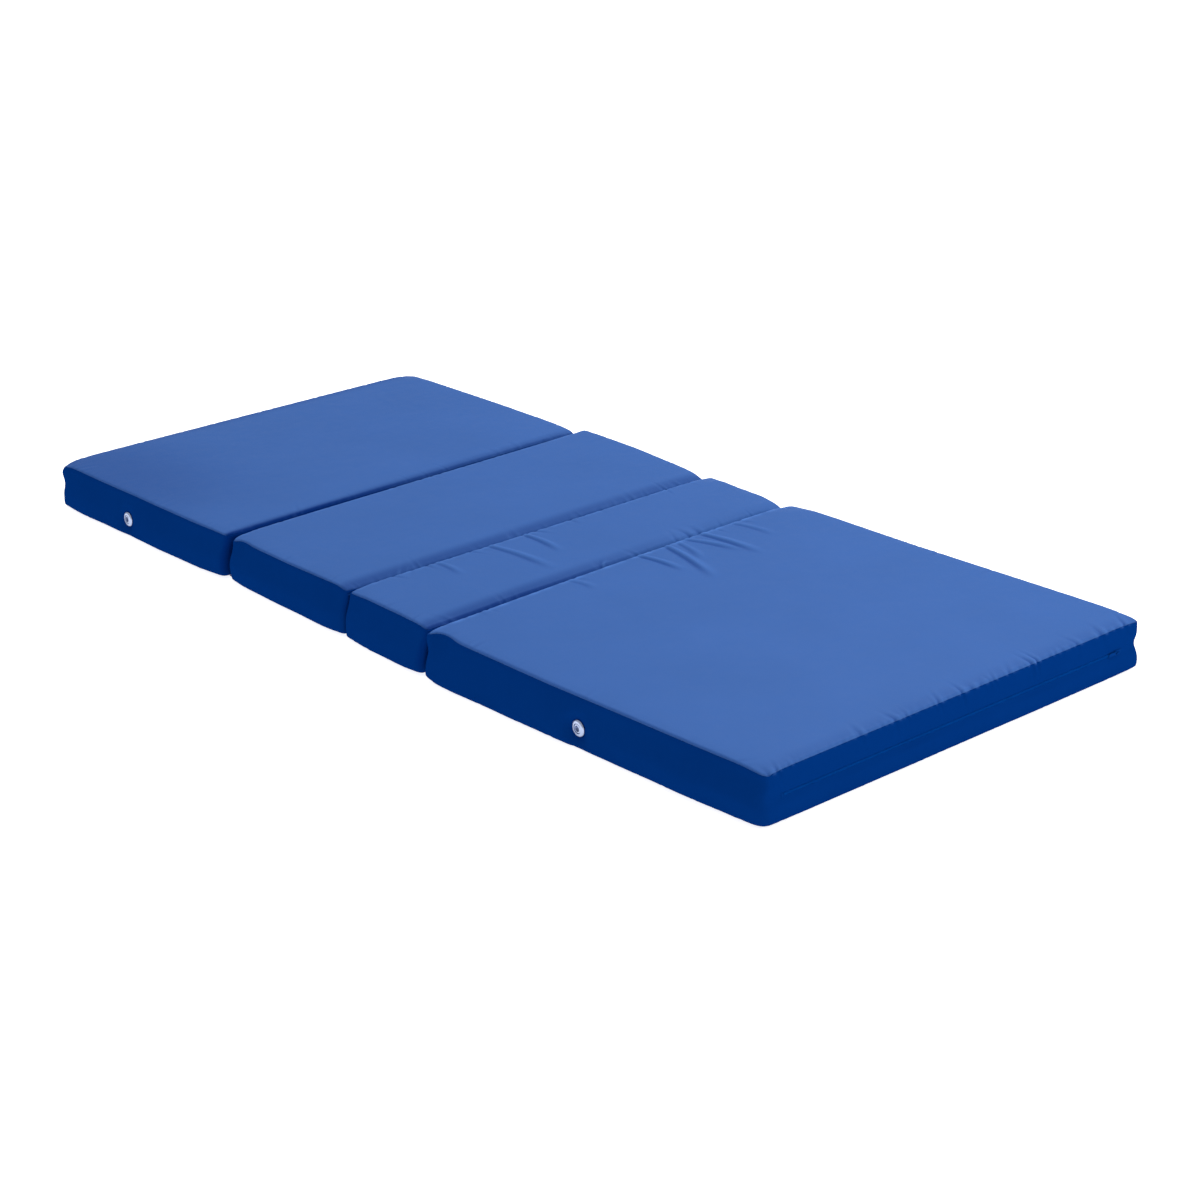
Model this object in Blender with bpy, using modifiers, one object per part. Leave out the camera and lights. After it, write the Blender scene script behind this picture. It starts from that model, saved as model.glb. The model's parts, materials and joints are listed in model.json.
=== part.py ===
"""Folding mat: four foam sections in zipped fabric covers, joined by three fabric hinges.

Metres, +Z up. X runs along the mat, with section 1 at -X and section 4 at +X. The mat lies flat on z = 0,
with the origin at the middle of its footprint.
"""
from math import acos, cos, pi, radians, sin, sqrt

import bmesh
import bpy
from mathutils import Matrix, Vector

# ---- driving dimensions -------------------------------------------------------------------------
LENGTH = 1.940
WIDTH = 0.840
THICKNESS = 0.087
SECTION_LENGTHS = (0.572, 0.371, 0.227, 0.770)  # middle of one joint to the middle of the next
JOINT_GAPS = (0.014, 0.006, 0.010)
JOINT_SIDES = ("bottom", "top", "top")  # the face that each fabric hinge is on

FABRIC = 0.001  # cover thickness
CLEAR = 0.0003  # gap between pieces that touch
FREE_CORNER = 0.024  # plan radius of the mat's four outer corners
JOINT_CORNER = 0.016  # plan radius of a section's corners beside a joint
TOP_EDGE = 0.010
BOTTOM_EDGE = 0.012
SEAM_DROP = 0.002  # how far the top and bottom sheets reach past their rounded edges
CORNER_SEGMENTS = 4
EDGE_SEGMENTS = 3

TOP_AXIS_RISE = 0.0035  # a top hinge's axis over the top faces
BOTTOM_AXIS_DROP = 0.002  # a bottom hinge's axis under the bottom faces
VALLEY_DEPTH = 0.007  # how far a top hinge strip dips between its two sections
STRIP_INSET = 0.020  # from a strip's end to the mat's long side

ZIP_HEIGHT = 0.5 * THICKNESS
ZIP_SLOT = 0.010  # height of the slot in the band
ZIP_END_MARGIN = 0.045  # from the slot's end to the end of its wall
TAPE_WIDTH = 0.026
TAPE_THICK = 0.0008
TAPE_CORNER = 0.003
TAPE_PAST_SLOT = 0.008  # how far the tape reaches past each end of the slot
COIL_WIDTH = 0.0056
COIL_PROUD = 0.0004
COIL_EDGE = 0.0011
STOP_LENGTH = 0.004
STOP_HEIGHT = 0.0064
STOP_PROUD = 0.0006
STOP_EDGE = 0.0003

SLIDER_LENGTH = 0.012
SLIDER_WIDTH = 0.0088
SLIDER_CORNER = 0.0009
SLIDER_PLATE = 0.0008
SLIDER_LIP = 0.0013
LIP_REACH = 0.0012  # how far the slider's lips reach past its plate
BRIDGE_LENGTH = 0.0070
BRIDGE_WIDTH = 0.0018
BRIDGE_BAR = 0.0007
BRIDGE_LEG = 0.0008
BRIDGE_SINK = 0.0003  # how far the bridge's feet go into the plate
BRIDGE_OPENING = 0.0011
PULL_LENGTH = 0.022
PULL_WIDTH = 0.0056
PULL_THICK = 0.0007
PULL_CORNER = 0.0020
PULL_RIM = 0.0011
PULL_WINDOW = 0.0050

VENT_INSETS = {1: 0.248, 4: 0.388}  # from each ventilator to the mat's end on its own section
VENT_HEIGHT = 0.034
VENT_RADIUS = 0.014
VENT_BORE = 0.0050
VENT_BARREL = 0.0057
VENT_DEPTH = 0.0060  # how far the barrel reaches in past the band's outer face
VENT_PROUD = 0.0033
VENT_CREST = 0.0084  # radius of the ring along which the dome is highest
VENT_RIM = 0.0008  # height of the dome's outer rim
VENT_LIP = 0.0012  # height at which the dome rolls into the bore
WASHER_RADIUS = 0.0115
WASHER_THICK = 0.0008
SCREEN_THICK = 0.0006
SCREEN_HOLE = 0.0007
SCREEN_RING = 0.0028
ROUND_STEPS = 28
SCREEN_STEPS = 20
HOLE_STEPS = 8
CUT_PAST = 0.002  # how far a cutter reaches out past the face it cuts
SAME = 1e-6  # lengths closer than this are the same

# ---- worked-out places --------------------------------------------------------------------------
JOINT_X = tuple(sum(SECTION_LENGTHS[: i + 1]) - LENGTH / 2 for i in range(3))
SECTION_X = tuple(
    (
        -LENGTH / 2 if i == 0 else JOINT_X[i - 1] + JOINT_GAPS[i - 1] / 2,
        LENGTH / 2 if i == 3 else JOINT_X[i] - JOINT_GAPS[i] / 2,
    )
    for i in range(4)
)
AXIS_Z = {"top": THICKNESS + TOP_AXIS_RISE, "bottom": -BOTTOM_AXIS_DROP}
TOP_SEAM = THICKNESS - TOP_EDGE - SEAM_DROP
BOTTOM_SEAM = BOTTOM_EDGE + SEAM_DROP
PLATE_TOP = COIL_PROUD + CLEAR + SLIDER_PLATE  # the slider plate's outer face, from the band's face
PULL_AXIS = PLATE_TOP + BRIDGE_OPENING / 2

# the walls that hold a zip: the turn about Z that takes a wall facing -Y to where it faces
WALL_TURNS = {"near": 0.0, "right": pi / 2, "far": pi, "left": -pi / 2}
# each section's zip: its wall, and the end where its slider rests, +1 or -1 along the zip
ZIP_WALLS = {1: ("left", -1), 2: ("far", 1), 3: ("far", 1), 4: ("right", 1)}


# ---- scene and materials ------------------------------------------------------------------------
def clear_scene():
    for item in list(bpy.data.objects):
        bpy.data.objects.remove(item, do_unlink=True)


def new_collection(name):
    collection = bpy.data.collections.new(name)
    bpy.context.scene.collection.children.link(collection)
    return collection


def new_material(name, colour, roughness, metallic=0.0):
    material = bpy.data.materials.new(name)
    material.use_nodes = True
    shader = material.node_tree.nodes["Principled BSDF"]
    shader.inputs["Base Color"].default_value = (*colour, 1.0)
    shader.inputs["Roughness"].default_value = roughness
    shader.inputs["Metallic"].default_value = metallic
    material.diffuse_color = (*colour, 1.0)
    return material


clear_scene()
MAT = new_collection("folding_mat")
CUTTERS = new_collection("cutters")
COVER = new_material("cover_fabric", (0.012, 0.082, 0.330), 0.50)
HINGE = new_material("hinge_fabric", (0.010, 0.070, 0.290), 0.55)
FOAM = new_material("foam", (0.800, 0.760, 0.600), 0.95)
ZIP_TEXTILE = new_material("zip_tape", (0.008, 0.050, 0.210), 0.70)
ZIP_NYLON = new_material("zip_coil", (0.010, 0.060, 0.240), 0.40)
ZIP_METAL = new_material("zip_enamel", (0.010, 0.060, 0.240), 0.35, 0.3)
NICKEL = new_material("nickel", (0.780, 0.790, 0.820), 0.22, 1.0)


# ---- building blocks ----------------------------------------------------------------------------
def add_empty(name, parent=None, location=(0, 0, 0), turn=0.0):
    empty = bpy.data.objects.new(name, None)
    empty.empty_display_size = 0.05
    empty.parent = parent
    empty.location = location
    empty.rotation_euler[2] = turn
    MAT.objects.link(empty)
    return empty


def add_object(name, bm, material, parent=None, location=(0, 0, 0), smooth=False):
    """One named sub-part, from a bmesh in its own frame."""
    mesh = bpy.data.meshes.new(name)
    bmesh.ops.recalc_face_normals(bm, faces=bm.faces)
    bm.to_mesh(mesh)
    bm.free()
    if smooth:
        mesh.shade_smooth()
        mesh.set_sharp_from_angle(angle=radians(35))
    mesh.materials.append(material)
    item = bpy.data.objects.new(name, mesh)
    item.parent = parent
    item.location = location
    MAT.objects.link(item)
    return item


def add_cutter(name, bm, parent, location=(0, 0, 0)):
    item = add_object(name, bm, FOAM, parent, location)
    MAT.objects.unlink(item)
    CUTTERS.objects.link(item)
    item.hide_render = True
    item.display_type = "WIRE"
    return item


def cut(item, cutter):
    modifier = item.modifiers.new(cutter.name, "BOOLEAN")
    modifier.operation = "DIFFERENCE"
    modifier.solver = "EXACT"
    modifier.object = cutter


def thicken(item, thickness, offset):
    modifier = item.modifiers.new("thickness", "SOLIDIFY")
    modifier.thickness = thickness
    modifier.offset = offset
    modifier.use_even_offset = True


def box(bm, low, high):
    """An axis-aligned box added to bm. Returns its vertices."""
    low, high = Vector(low), Vector(high)
    size = high - low
    place = Matrix.Translation((low + high) / 2) @ Matrix.Diagonal((*size, 1.0))
    return bmesh.ops.create_cube(bm, size=1.0, matrix=place)["verts"]


def cylinder(bm, radius, y_out, y_in, centre=(0.0, 0.0), steps=ROUND_STEPS):
    """A cylinder along Y from y_out to y_in, with its axis at (x, z) = centre."""
    place = Matrix.Translation((centre[0], (y_out + y_in) / 2, centre[1])) @ Matrix.Rotation(pi / 2, 4, "X")
    bmesh.ops.create_cone(
        bm, cap_ends=True, segments=steps, radius1=radius, radius2=radius, depth=y_in - y_out, matrix=place
    )


def bevel_edges(bm, edges, width, segments):
    bmesh.ops.bevel(
        bm, geom=edges, offset=width, offset_type="OFFSET", segments=segments, profile=0.5, affect="EDGES"
    )


def is_vertical(edge):
    a, b = (v.co for v in edge.verts)
    return (a - b).xy.length < SAME


def rounded_block(low, high, left_corner, right_corner, top_edge, bottom_edge):
    """A closed block with rounded plan corners and rounded top and bottom edges."""
    bm = bmesh.new()
    box(bm, low, high)
    for x, radius in ((low[0], left_corner), (high[0], right_corner)):
        edges = [e for e in bm.edges if is_vertical(e) and abs(e.verts[0].co.x - x) < SAME]
        bevel_edges(bm, edges, radius, CORNER_SEGMENTS)
    for z, width in ((high[2], top_edge), (low[2], bottom_edge)):
        edges = [e for e in bm.edges if all(abs(v.co.z - z) < SAME for v in e.verts)]
        bevel_edges(bm, edges, width, EDGE_SEGMENTS)
    return bm


def keep_between(bm, z_low=None, z_high=None):
    """Cuts bm with level planes, and keeps the open surface between them."""
    for z, up in ((z_low, -1), (z_high, 1)):
        if z is not None:
            geometry = bm.verts[:] + bm.edges[:] + bm.faces[:]
            bmesh.ops.bisect_plane(
                bm, geom=geometry, dist=SAME, plane_co=(0, 0, z), plane_no=(0, 0, up), clear_outer=True
            )


# ---- the sections: foam core, top sheet, side band, bottom sheet --------------------------------
def section_block(number, shrink=0.0):
    """The outer form of a section, or with shrink the same form that much smaller all round."""
    x_low, x_high = SECTION_X[number - 1]
    left = FREE_CORNER if number == 1 else JOINT_CORNER
    right = FREE_CORNER if number == 4 else JOINT_CORNER
    return rounded_block(
        (x_low + shrink, -WIDTH / 2 + shrink, shrink),
        (x_high - shrink, WIDTH / 2 - shrink, THICKNESS - shrink),
        left - shrink,
        right - shrink,
        TOP_EDGE - shrink,
        BOTTOM_EDGE - shrink,
    )


def make_section(number, pivot):
    """The four main pieces of a section, whose origins are at its pivot."""
    name = f"section_{number}"
    at_pivot = -pivot.matrix_world.translation
    made = {}
    for piece, z_low, z_high in (
        ("top_sheet", TOP_SEAM + CLEAR / 2, None),
        ("side_band", BOTTOM_SEAM + CLEAR / 2, TOP_SEAM - CLEAR / 2),
        ("bottom_sheet", None, BOTTOM_SEAM - CLEAR / 2),
    ):
        bm = section_block(number)
        keep_between(bm, z_low, z_high)
        bmesh.ops.translate(bm, verts=bm.verts, vec=at_pivot)
        made[piece] = add_object(f"{name}_{piece}", bm, COVER, pivot, smooth=True)
        thicken(made[piece], FABRIC, -1.0)
    bm = section_block(number, FABRIC + CLEAR)
    bmesh.ops.translate(bm, verts=bm.verts, vec=at_pivot)
    made["foam_core"] = add_object(f"{name}_foam_core", bm, FOAM, pivot, smooth=True)
    return made


def wall_span(number, wall):
    """The low and high end of the straight length of a section's wall, along its own direction."""
    if wall in ("left", "right"):
        return -WIDTH / 2, WIDTH / 2
    return SECTION_X[number - 1]


def wall_place(number, wall):
    """The middle of a section's wall, on its outer face."""
    x_low, x_high = SECTION_X[number - 1]
    x = {"left": x_low, "right": x_high}.get(wall, (x_low + x_high) / 2)
    y = {"near": -WIDTH / 2, "far": WIDTH / 2}.get(wall, 0.0)
    return Vector((x, y, 0.0))


# ---- fabric hinges ------------------------------------------------------------------------------
def strip_line(gap, side):
    """The strip's middle line across its joint, as (x, z) from left to right, x from the joint."""
    if side == "bottom":
        # flat under the rounded bottom edges, as far as they leave room for it
        level = CLEAR + FABRIC / 2
        room = BOTTOM_EDGE - (FABRIC + 2 * CLEAR)
        reach = gap / 2 + BOTTOM_EDGE - sqrt(BOTTOM_EDGE**2 - room**2)
        return [(reach * t / 2, level) for t in (-2, -1, 0, 1, 2)]
    # round the top edges of both sections, with a level floor between them
    radius = TOP_EDGE + CLEAR + FABRIC / 2
    centre_x, centre_z = gap / 2 + TOP_EDGE, THICKNESS - TOP_EDGE
    first = acos((TOP_EDGE - CLEAR) / (radius + FABRIC / 2))
    last = acos((TOP_EDGE - VALLEY_DEPTH) / radius)
    angles = [first + (last - first) * t / 3 for t in range(4)]
    left = [(-centre_x + radius * sin(a), centre_z + radius * cos(a)) for a in angles]
    return left + [(-x, z) for x, z in reversed(left)]


def make_hinge_strip(index, pivot):
    bm = bmesh.new()
    line = [
        bm.verts.new((JOINT_X[index] + x, -WIDTH / 2 + STRIP_INSET, z))
        for x, z in strip_line(JOINT_GAPS[index], JOINT_SIDES[index])
    ]
    edges = [bm.edges.new(pair) for pair in zip(line, line[1:])]
    made = bmesh.ops.extrude_edge_only(bm, edges=edges)["geom"]
    across = [v for v in made if isinstance(v, bmesh.types.BMVert)]
    bmesh.ops.translate(bm, verts=across, vec=(0, WIDTH - 2 * STRIP_INSET, 0))
    bmesh.ops.translate(bm, verts=bm.verts, vec=-pivot.matrix_world.translation)
    strip = add_object(f"hinge_strip_{index + 1}{index + 2}", bm, HINGE, pivot)
    thicken(strip, FABRIC, 0.0)


# ---- zips ---------------------------------------------------------------------------------------
# A zip is modelled on a wall that faces -Y: X along the zip, -Y outward, z = 0 at its middle line, and
# y = 0 on the band's outer face. Its pull points from its slider to the zip's open end.
def make_tape(name, length, base):
    bm = bmesh.new()
    outer = FABRIC + CLEAR
    box(bm, (-length / 2, outer, -TAPE_WIDTH / 2), (length / 2, outer + TAPE_THICK, TAPE_WIDTH / 2))
    corners = [e for e in bm.edges if abs(e.verts[0].co.y - e.verts[1].co.y) > TAPE_THICK / 2]
    bevel_edges(bm, corners, TAPE_CORNER, 2)
    add_object(f"{name}_tape", bm, ZIP_TEXTILE, base)


def make_coil(name, length, base):
    """A long bead, with its two outer edges rounded off."""
    bm = bmesh.new()
    box(bm, (-length / 2, -COIL_PROUD, -COIL_WIDTH / 2), (length / 2, FABRIC, COIL_WIDTH / 2))
    outer = [
        e
        for e in bm.edges
        if all(abs(v.co.y + COIL_PROUD) < SAME for v in e.verts)
        and abs(e.verts[0].co.x - e.verts[1].co.x) > length / 2
    ]
    bevel_edges(bm, outer, COIL_EDGE, 3)
    add_object(f"{name}_coil", bm, ZIP_NYLON, base, smooth=True)


def make_stop(name, x_middle, base):
    bm = bmesh.new()
    half_l, half_h = STOP_LENGTH / 2, STOP_HEIGHT / 2
    box(bm, (-half_l, -STOP_PROUD, -half_h), (half_l, FABRIC, half_h))
    bevel_edges(bm, [e for e in bm.edges if is_vertical(e)], STOP_EDGE, 2)
    add_object(name, bm, ZIP_METAL, base, (x_middle, 0, 0))


def make_slider(name, x_rest, base):
    """A plate over the coil with a lip down each side of it, and a bridge that holds the pull."""
    bm = bmesh.new()
    half_l, half_w = SLIDER_LENGTH / 2, SLIDER_WIDTH / 2
    inner = PLATE_TOP - SLIDER_PLATE
    # a channel's section: the plate, with a lip along each of its long sides
    section = [
        (-inner + LIP_REACH, -half_w),
        (-PLATE_TOP, -half_w),
        (-PLATE_TOP, half_w),
        (-inner + LIP_REACH, half_w),
        (-inner + LIP_REACH, half_w - SLIDER_LIP),
        (-inner, half_w - SLIDER_LIP),
        (-inner, -half_w + SLIDER_LIP),
        (-inner + LIP_REACH, -half_w + SLIDER_LIP),
    ]
    face = bm.faces.new([bm.verts.new((-half_l, y, z)) for y, z in section])
    made = bmesh.ops.extrude_face_region(bm, geom=[face])["geom"]
    moved = [v for v in made if isinstance(v, bmesh.types.BMVert)]
    bmesh.ops.translate(bm, verts=moved, vec=(SLIDER_LENGTH, 0, 0))
    corners = [
        e
        for e in bm.edges
        if all(abs(abs(v.co.x) - half_l) < SAME and abs(abs(v.co.z) - half_w) < SAME for v in e.verts)
        and abs(e.verts[0].co.z - e.verts[1].co.z) < SAME
    ]
    bevel_edges(bm, corners, SLIDER_CORNER, 2)
    slider = add_object(f"{name}_slider", bm, ZIP_METAL, base, (x_rest, 0, 0))

    # the bridge is a bar on two legs, made as one outline and set through the plate's face
    bridge = bmesh.new()
    half, leg = BRIDGE_LENGTH / 2, BRIDGE_LEG
    foot, under = -PLATE_TOP + BRIDGE_SINK, -PLATE_TOP - BRIDGE_OPENING
    top = under - BRIDGE_BAR
    outline = [
        (-half, foot), (-half, under), (-half + BRIDGE_BAR, top), (half - BRIDGE_BAR, top), (half, under),
        (half, foot), (half - leg, foot), (half - leg, under), (-half + leg, under), (-half + leg, foot),
    ]
    face = bridge.faces.new([bridge.verts.new((x, y, -BRIDGE_WIDTH / 2)) for x, y in outline])
    made = bmesh.ops.extrude_face_region(bridge, geom=[face])["geom"]
    moved = [v for v in made if isinstance(v, bmesh.types.BMVert)]
    bmesh.ops.translate(bridge, verts=moved, vec=(0, 0, BRIDGE_WIDTH))
    tool = add_cutter(f"{name}_bridge", bridge, base, (x_rest, 0, 0))
    union = slider.modifiers.new("bridge", "BOOLEAN")
    union.operation = "UNION"
    union.solver = "EXACT"
    union.object = tool


def along(end, x_near, x_far, half_y, half_z):
    """A box's two corners, from x_near to x_far away from the zip's closed end."""
    x_low, x_high = sorted((-end * x_near, -end * x_far))
    return (x_low, -half_y, -half_z), (x_high, half_y, half_z)


def make_pull(name, x_rest, end, base):
    """A flat tab with a window that the bridge stands in. Its end rod lies under the bridge."""
    bm = bmesh.new()
    half_t, half_w = PULL_THICK / 2, PULL_WIDTH / 2
    box(bm, *along(end, -half_t, PULL_LENGTH, half_t, half_w))
    corners = [
        e
        for e in bm.edges
        if all(abs(abs(v.co.x) - PULL_LENGTH) < SAME for v in e.verts) and not is_vertical(e)
    ]
    bevel_edges(bm, corners, PULL_CORNER, 3)
    pull = add_object(f"{name}_pull", bm, ZIP_METAL, base, (x_rest, -PULL_AXIS, 0))
    window = bmesh.new()
    box(window, *along(end, half_t, PULL_WINDOW, PULL_THICK, half_w - PULL_RIM))
    cut(pull, add_cutter(f"{name}_pull_window", window, base, (x_rest, -PULL_AXIS, 0)))


def make_zip(number, band, foam, pivot):
    """The zip in one section's band, with the slot and the pocket that hold it."""
    name = f"zip_{number}"
    wall, end = ZIP_WALLS[number]
    low, high = wall_span(number, wall)
    slot = high - low - 2 * ZIP_END_MARGIN
    middle = wall_place(number, wall) + Vector((0, 0, ZIP_HEIGHT))
    base = add_empty(f"{name}_place", pivot, middle - pivot.matrix_world.translation, WALL_TURNS[wall])
    coil = slot - 2 * (STOP_LENGTH + 2 * CLEAR)
    tape = slot + 2 * TAPE_PAST_SLOT
    x_rest = end * (coil - SLIDER_LENGTH) / 2

    bm = bmesh.new()
    box(bm, (-slot / 2, -CUT_PAST, -ZIP_SLOT / 2), (slot / 2, FABRIC + CUT_PAST, ZIP_SLOT / 2))
    cut(band, add_cutter(f"{name}_slot", bm, base))
    bm = bmesh.new()
    deep = FABRIC + 2 * CLEAR + TAPE_THICK
    half_l, half_w = tape / 2 + CLEAR, TAPE_WIDTH / 2 + CLEAR
    box(bm, (-half_l, -CUT_PAST, -half_w), (half_l, deep, half_w))
    cut(foam, add_cutter(f"{name}_pocket", bm, base))

    make_tape(name, tape, base)
    make_coil(name, coil, base)
    stop_x = coil / 2 + CLEAR + STOP_LENGTH / 2
    make_stop(f"{name}_closed_stop", end * stop_x, base)
    make_stop(f"{name}_open_stop", -end * stop_x, base)
    make_slider(name, x_rest, base)
    make_pull(name, x_rest, end, base)


# ---- ventilators --------------------------------------------------------------------------------
def turned(name, profile, base):
    """A ring turned about Y. profile is (radius, y), in from the rim over the front, then back behind."""
    bm = bmesh.new()
    verts = [bm.verts.new((radius, y, 0)) for radius, y in profile]
    for a, b in zip(verts, verts[1:] + verts[:1]):
        bm.edges.new((a, b))
    item = add_object(name, bm, NICKEL, base)
    screw = item.modifiers.new("turn", "SCREW")
    screw.axis = "Y"
    screw.steps = screw.render_steps = ROUND_STEPS
    screw.use_merge_vertices = True
    screw.merge_threshold = 0.00001
    screw.use_smooth_shade = True
    return item


def make_ventilator(number, band, foam, pivot):
    """A domed flange on the band's face, its barrel through the band, a washer behind, a screen inside."""
    name = f"ventilator_{number}"
    from_middle = LENGTH / 2 - VENT_INSETS[number]
    place = Vector((-from_middle if number == 1 else from_middle, -WIDTH / 2, VENT_HEIGHT))
    base = add_empty(f"{name}_place", pivot, place - pivot.matrix_world.translation)
    # the dome's outer side is a flat arc from its rim to its crest, and it rolls into the bore
    dome = [
        (VENT_CREST + (VENT_RADIUS - VENT_CREST) * cos(a), -VENT_RIM - (VENT_PROUD - VENT_RIM) * sin(a))
        for a in (radians(d) for d in range(0, 91, 15))
    ]
    roll = [
        (VENT_BORE + (VENT_CREST - VENT_BORE) * sin(a), -VENT_LIP - (VENT_PROUD - VENT_LIP) * cos(a))
        for a in (radians(d) for d in (60, 30, 0))
    ]
    back = [
        (VENT_BORE, VENT_DEPTH),
        (VENT_BARREL, VENT_DEPTH),
        (VENT_BARREL, -CLEAR),
        (VENT_RADIUS, -CLEAR),
    ]
    turned(f"{name}_flange", dome + roll + back, base)
    turned(
        f"{name}_washer",
        [
            (WASHER_RADIUS, FABRIC + CLEAR),
            (VENT_BARREL + CLEAR, FABRIC + CLEAR),
            (VENT_BARREL + CLEAR, FABRIC + CLEAR + WASHER_THICK),
            (WASHER_RADIUS, FABRIC + CLEAR + WASHER_THICK),
        ],
        base,
    )
    bm = bmesh.new()
    cylinder(bm, VENT_BORE - CLEAR, 0.0, SCREEN_THICK, steps=SCREEN_STEPS)
    screen = add_object(f"{name}_screen", bm, NICKEL, base)
    for hole in range(7):
        angle = pi / 3 * hole
        centre = (0.0, 0.0) if hole == 6 else (SCREEN_RING * cos(angle), SCREEN_RING * sin(angle))
        bm = bmesh.new()
        cylinder(bm, SCREEN_HOLE, -CUT_PAST, SCREEN_THICK + CUT_PAST, centre, steps=HOLE_STEPS)
        cut(screen, add_cutter(f"{name}_hole_{hole}", bm, base))

    bm = bmesh.new()
    cylinder(bm, VENT_BARREL + CLEAR, -CUT_PAST, FABRIC + CUT_PAST)
    cut(band, add_cutter(f"{name}_band_hole", bm, base))
    bm = bmesh.new()
    cylinder(bm, WASHER_RADIUS + CLEAR, -CUT_PAST, VENT_DEPTH + CLEAR)
    cut(foam, add_cutter(f"{name}_foam_pocket", bm, base))


# ---- the mat ------------------------------------------------------------------------------------
def build_mat():
    """Sections hang in a chain from section 4, each from the joint on its +X side."""
    pivot = add_empty("section_4_place")
    for number in (4, 3, 2, 1):
        if number < 4:
            side = JOINT_SIDES[number - 1]
            axis = Vector((JOINT_X[number - 1], 0, AXIS_Z[side]))
            parent = pivot
            pivot = add_empty(f"fold_{number}{number + 1}", parent, axis - parent.matrix_world.translation)
            bpy.context.view_layer.update()
            make_hinge_strip(number - 1, pivot)
        made = make_section(number, pivot)
        make_zip(number, made["side_band"], made["foam_core"], pivot)
        if number in VENT_INSETS:
            make_ventilator(number, made["side_band"], made["foam_core"], pivot)


build_mat()
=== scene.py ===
"""The looks of the folding mat: four padded covers, their fabric hinges, zips and ventilators.

Metres, in the frame's own axes: +X from section 1 to section 4, +Y away from the ventilators, +Z up.
"""

import json
from math import cos, hypot, pi, radians, sin

import bmesh
import bpy
import numpy as np
from mathutils import Matrix, Vector


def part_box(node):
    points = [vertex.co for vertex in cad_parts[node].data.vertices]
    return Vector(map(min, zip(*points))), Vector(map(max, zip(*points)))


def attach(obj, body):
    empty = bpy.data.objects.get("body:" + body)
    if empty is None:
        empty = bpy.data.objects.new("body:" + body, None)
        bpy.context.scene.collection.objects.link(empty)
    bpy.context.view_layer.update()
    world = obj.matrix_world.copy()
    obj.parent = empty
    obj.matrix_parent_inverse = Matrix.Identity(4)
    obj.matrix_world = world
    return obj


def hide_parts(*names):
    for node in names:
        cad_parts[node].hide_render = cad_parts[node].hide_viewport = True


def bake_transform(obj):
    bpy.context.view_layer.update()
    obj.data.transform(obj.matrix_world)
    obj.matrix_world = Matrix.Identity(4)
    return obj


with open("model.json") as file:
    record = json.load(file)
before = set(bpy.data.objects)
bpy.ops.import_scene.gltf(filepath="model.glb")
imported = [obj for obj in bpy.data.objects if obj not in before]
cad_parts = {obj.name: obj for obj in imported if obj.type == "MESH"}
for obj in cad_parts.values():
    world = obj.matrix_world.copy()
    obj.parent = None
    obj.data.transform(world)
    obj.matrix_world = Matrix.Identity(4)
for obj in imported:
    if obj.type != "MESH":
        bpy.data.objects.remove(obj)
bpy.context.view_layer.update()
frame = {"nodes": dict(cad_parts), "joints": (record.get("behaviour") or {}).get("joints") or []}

# ---- places that the frame gives ----
SECTIONS = (1, 2, 3, 4)
BAND_BOX = {n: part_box(f"section_{n}_side_band") for n in SECTIONS}
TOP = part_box("section_4_top_sheet")[1].z
HALF_WIDTH = BAND_BOX[4][1].y
ZIP_LEVEL = sum(p.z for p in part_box("zip_4_tape")) / 2
JOINTS = {j["name"]: Vector(j["pos_m"]) for j in frame["joints"] if j["name"].startswith("fold")}
ZIP_WALL = {1: "left", 2: "far", 3: "far", 4: "right"}

# ---- form of the covers ----
GRID_STEP = (0.008, 0.005)
TOP_DROP = 0.0068  # height of a top edge's rounding
SIDE_REACH = 0.0055  # how far it reaches in from the long sides
BOTTOM_ROUND = 0.0065
LEAST_RADIUS = 0.003
CORNER_REACH = 0.05  # how far a rounded corner bends the grid inside it
TOP_SEAM_ANGLE = 60
BOTTOM_SEAM_ANGLE = 45
# how far each section's top rounding reaches in from its left and its right wall
EDGE_REACH = {1: (0.007, 0.009), 2: (0.006, 0.009), 3: (0.006, 0.009), 4: (0.005, 0.006)}
# plan radius of each section's corners: left near, left far, right near, right far
PLAN_RADIUS = {
    1: (0.018, 0.026, 0.014, 0.012),
    2: (0.012, 0.006, 0.007, 0.007),
    3: (0.006, 0.006, 0.007, 0.01),
    4: (0.01, 0.012, 0.01, 0.011),
}
# how much larger the outer corners' radius is at the floor
LOW_RADIUS = {1: (-0.006, 0.0, 0, 0), 2: (0, 0, 0, 0), 3: (0, 0, 0, 0), 4: (0.004, 0, 0.01, -0.002)}
# how far the foot of the near side stands out, at each section's left and right end
NEAR_FOOT = {1: (0.006, 0.001), 2: (-0.005, 0.003), 3: (0.005, 0.011), 4: (0.017, -0.008)}
# how far the near and the far top edge lie inwards (+) or outwards (-), at places along the mat
NEAR_TOP = {
    1: ((-0.97, 0.0045), (-0.81, 0.0035), (-0.7, 0.005), (-0.64, 0.0045), (-0.5, 0.0055), (-0.41, 0.0085)),
    2: ((-0.39, 0.0115), (-0.2, 0.0085), (-0.06, 0.011), (-0.03, 0.008)),
    3: ((-0.02, 0.009), (0.12, 0.006), (0.2, 0.002)),
    4: ((0.21, 0.0), (0.5, 0.001), (0.87, 0.012), (0.97, 0.016)),
}
FAR_TOP = {
    1: ((-0.97, 0.0), (-0.66, 0.0), (-0.41, 0.004)),
    2: ((-0.39, -0.014), (-0.22, -0.006), (-0.03, 0.013)),
    3: ((-0.02, 0.002), (0.06, 0.012), (0.2, 0.014)),
    4: ((0.21, 0.003), (0.5, 0.0055), (0.97, -0.004)),
}
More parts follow.
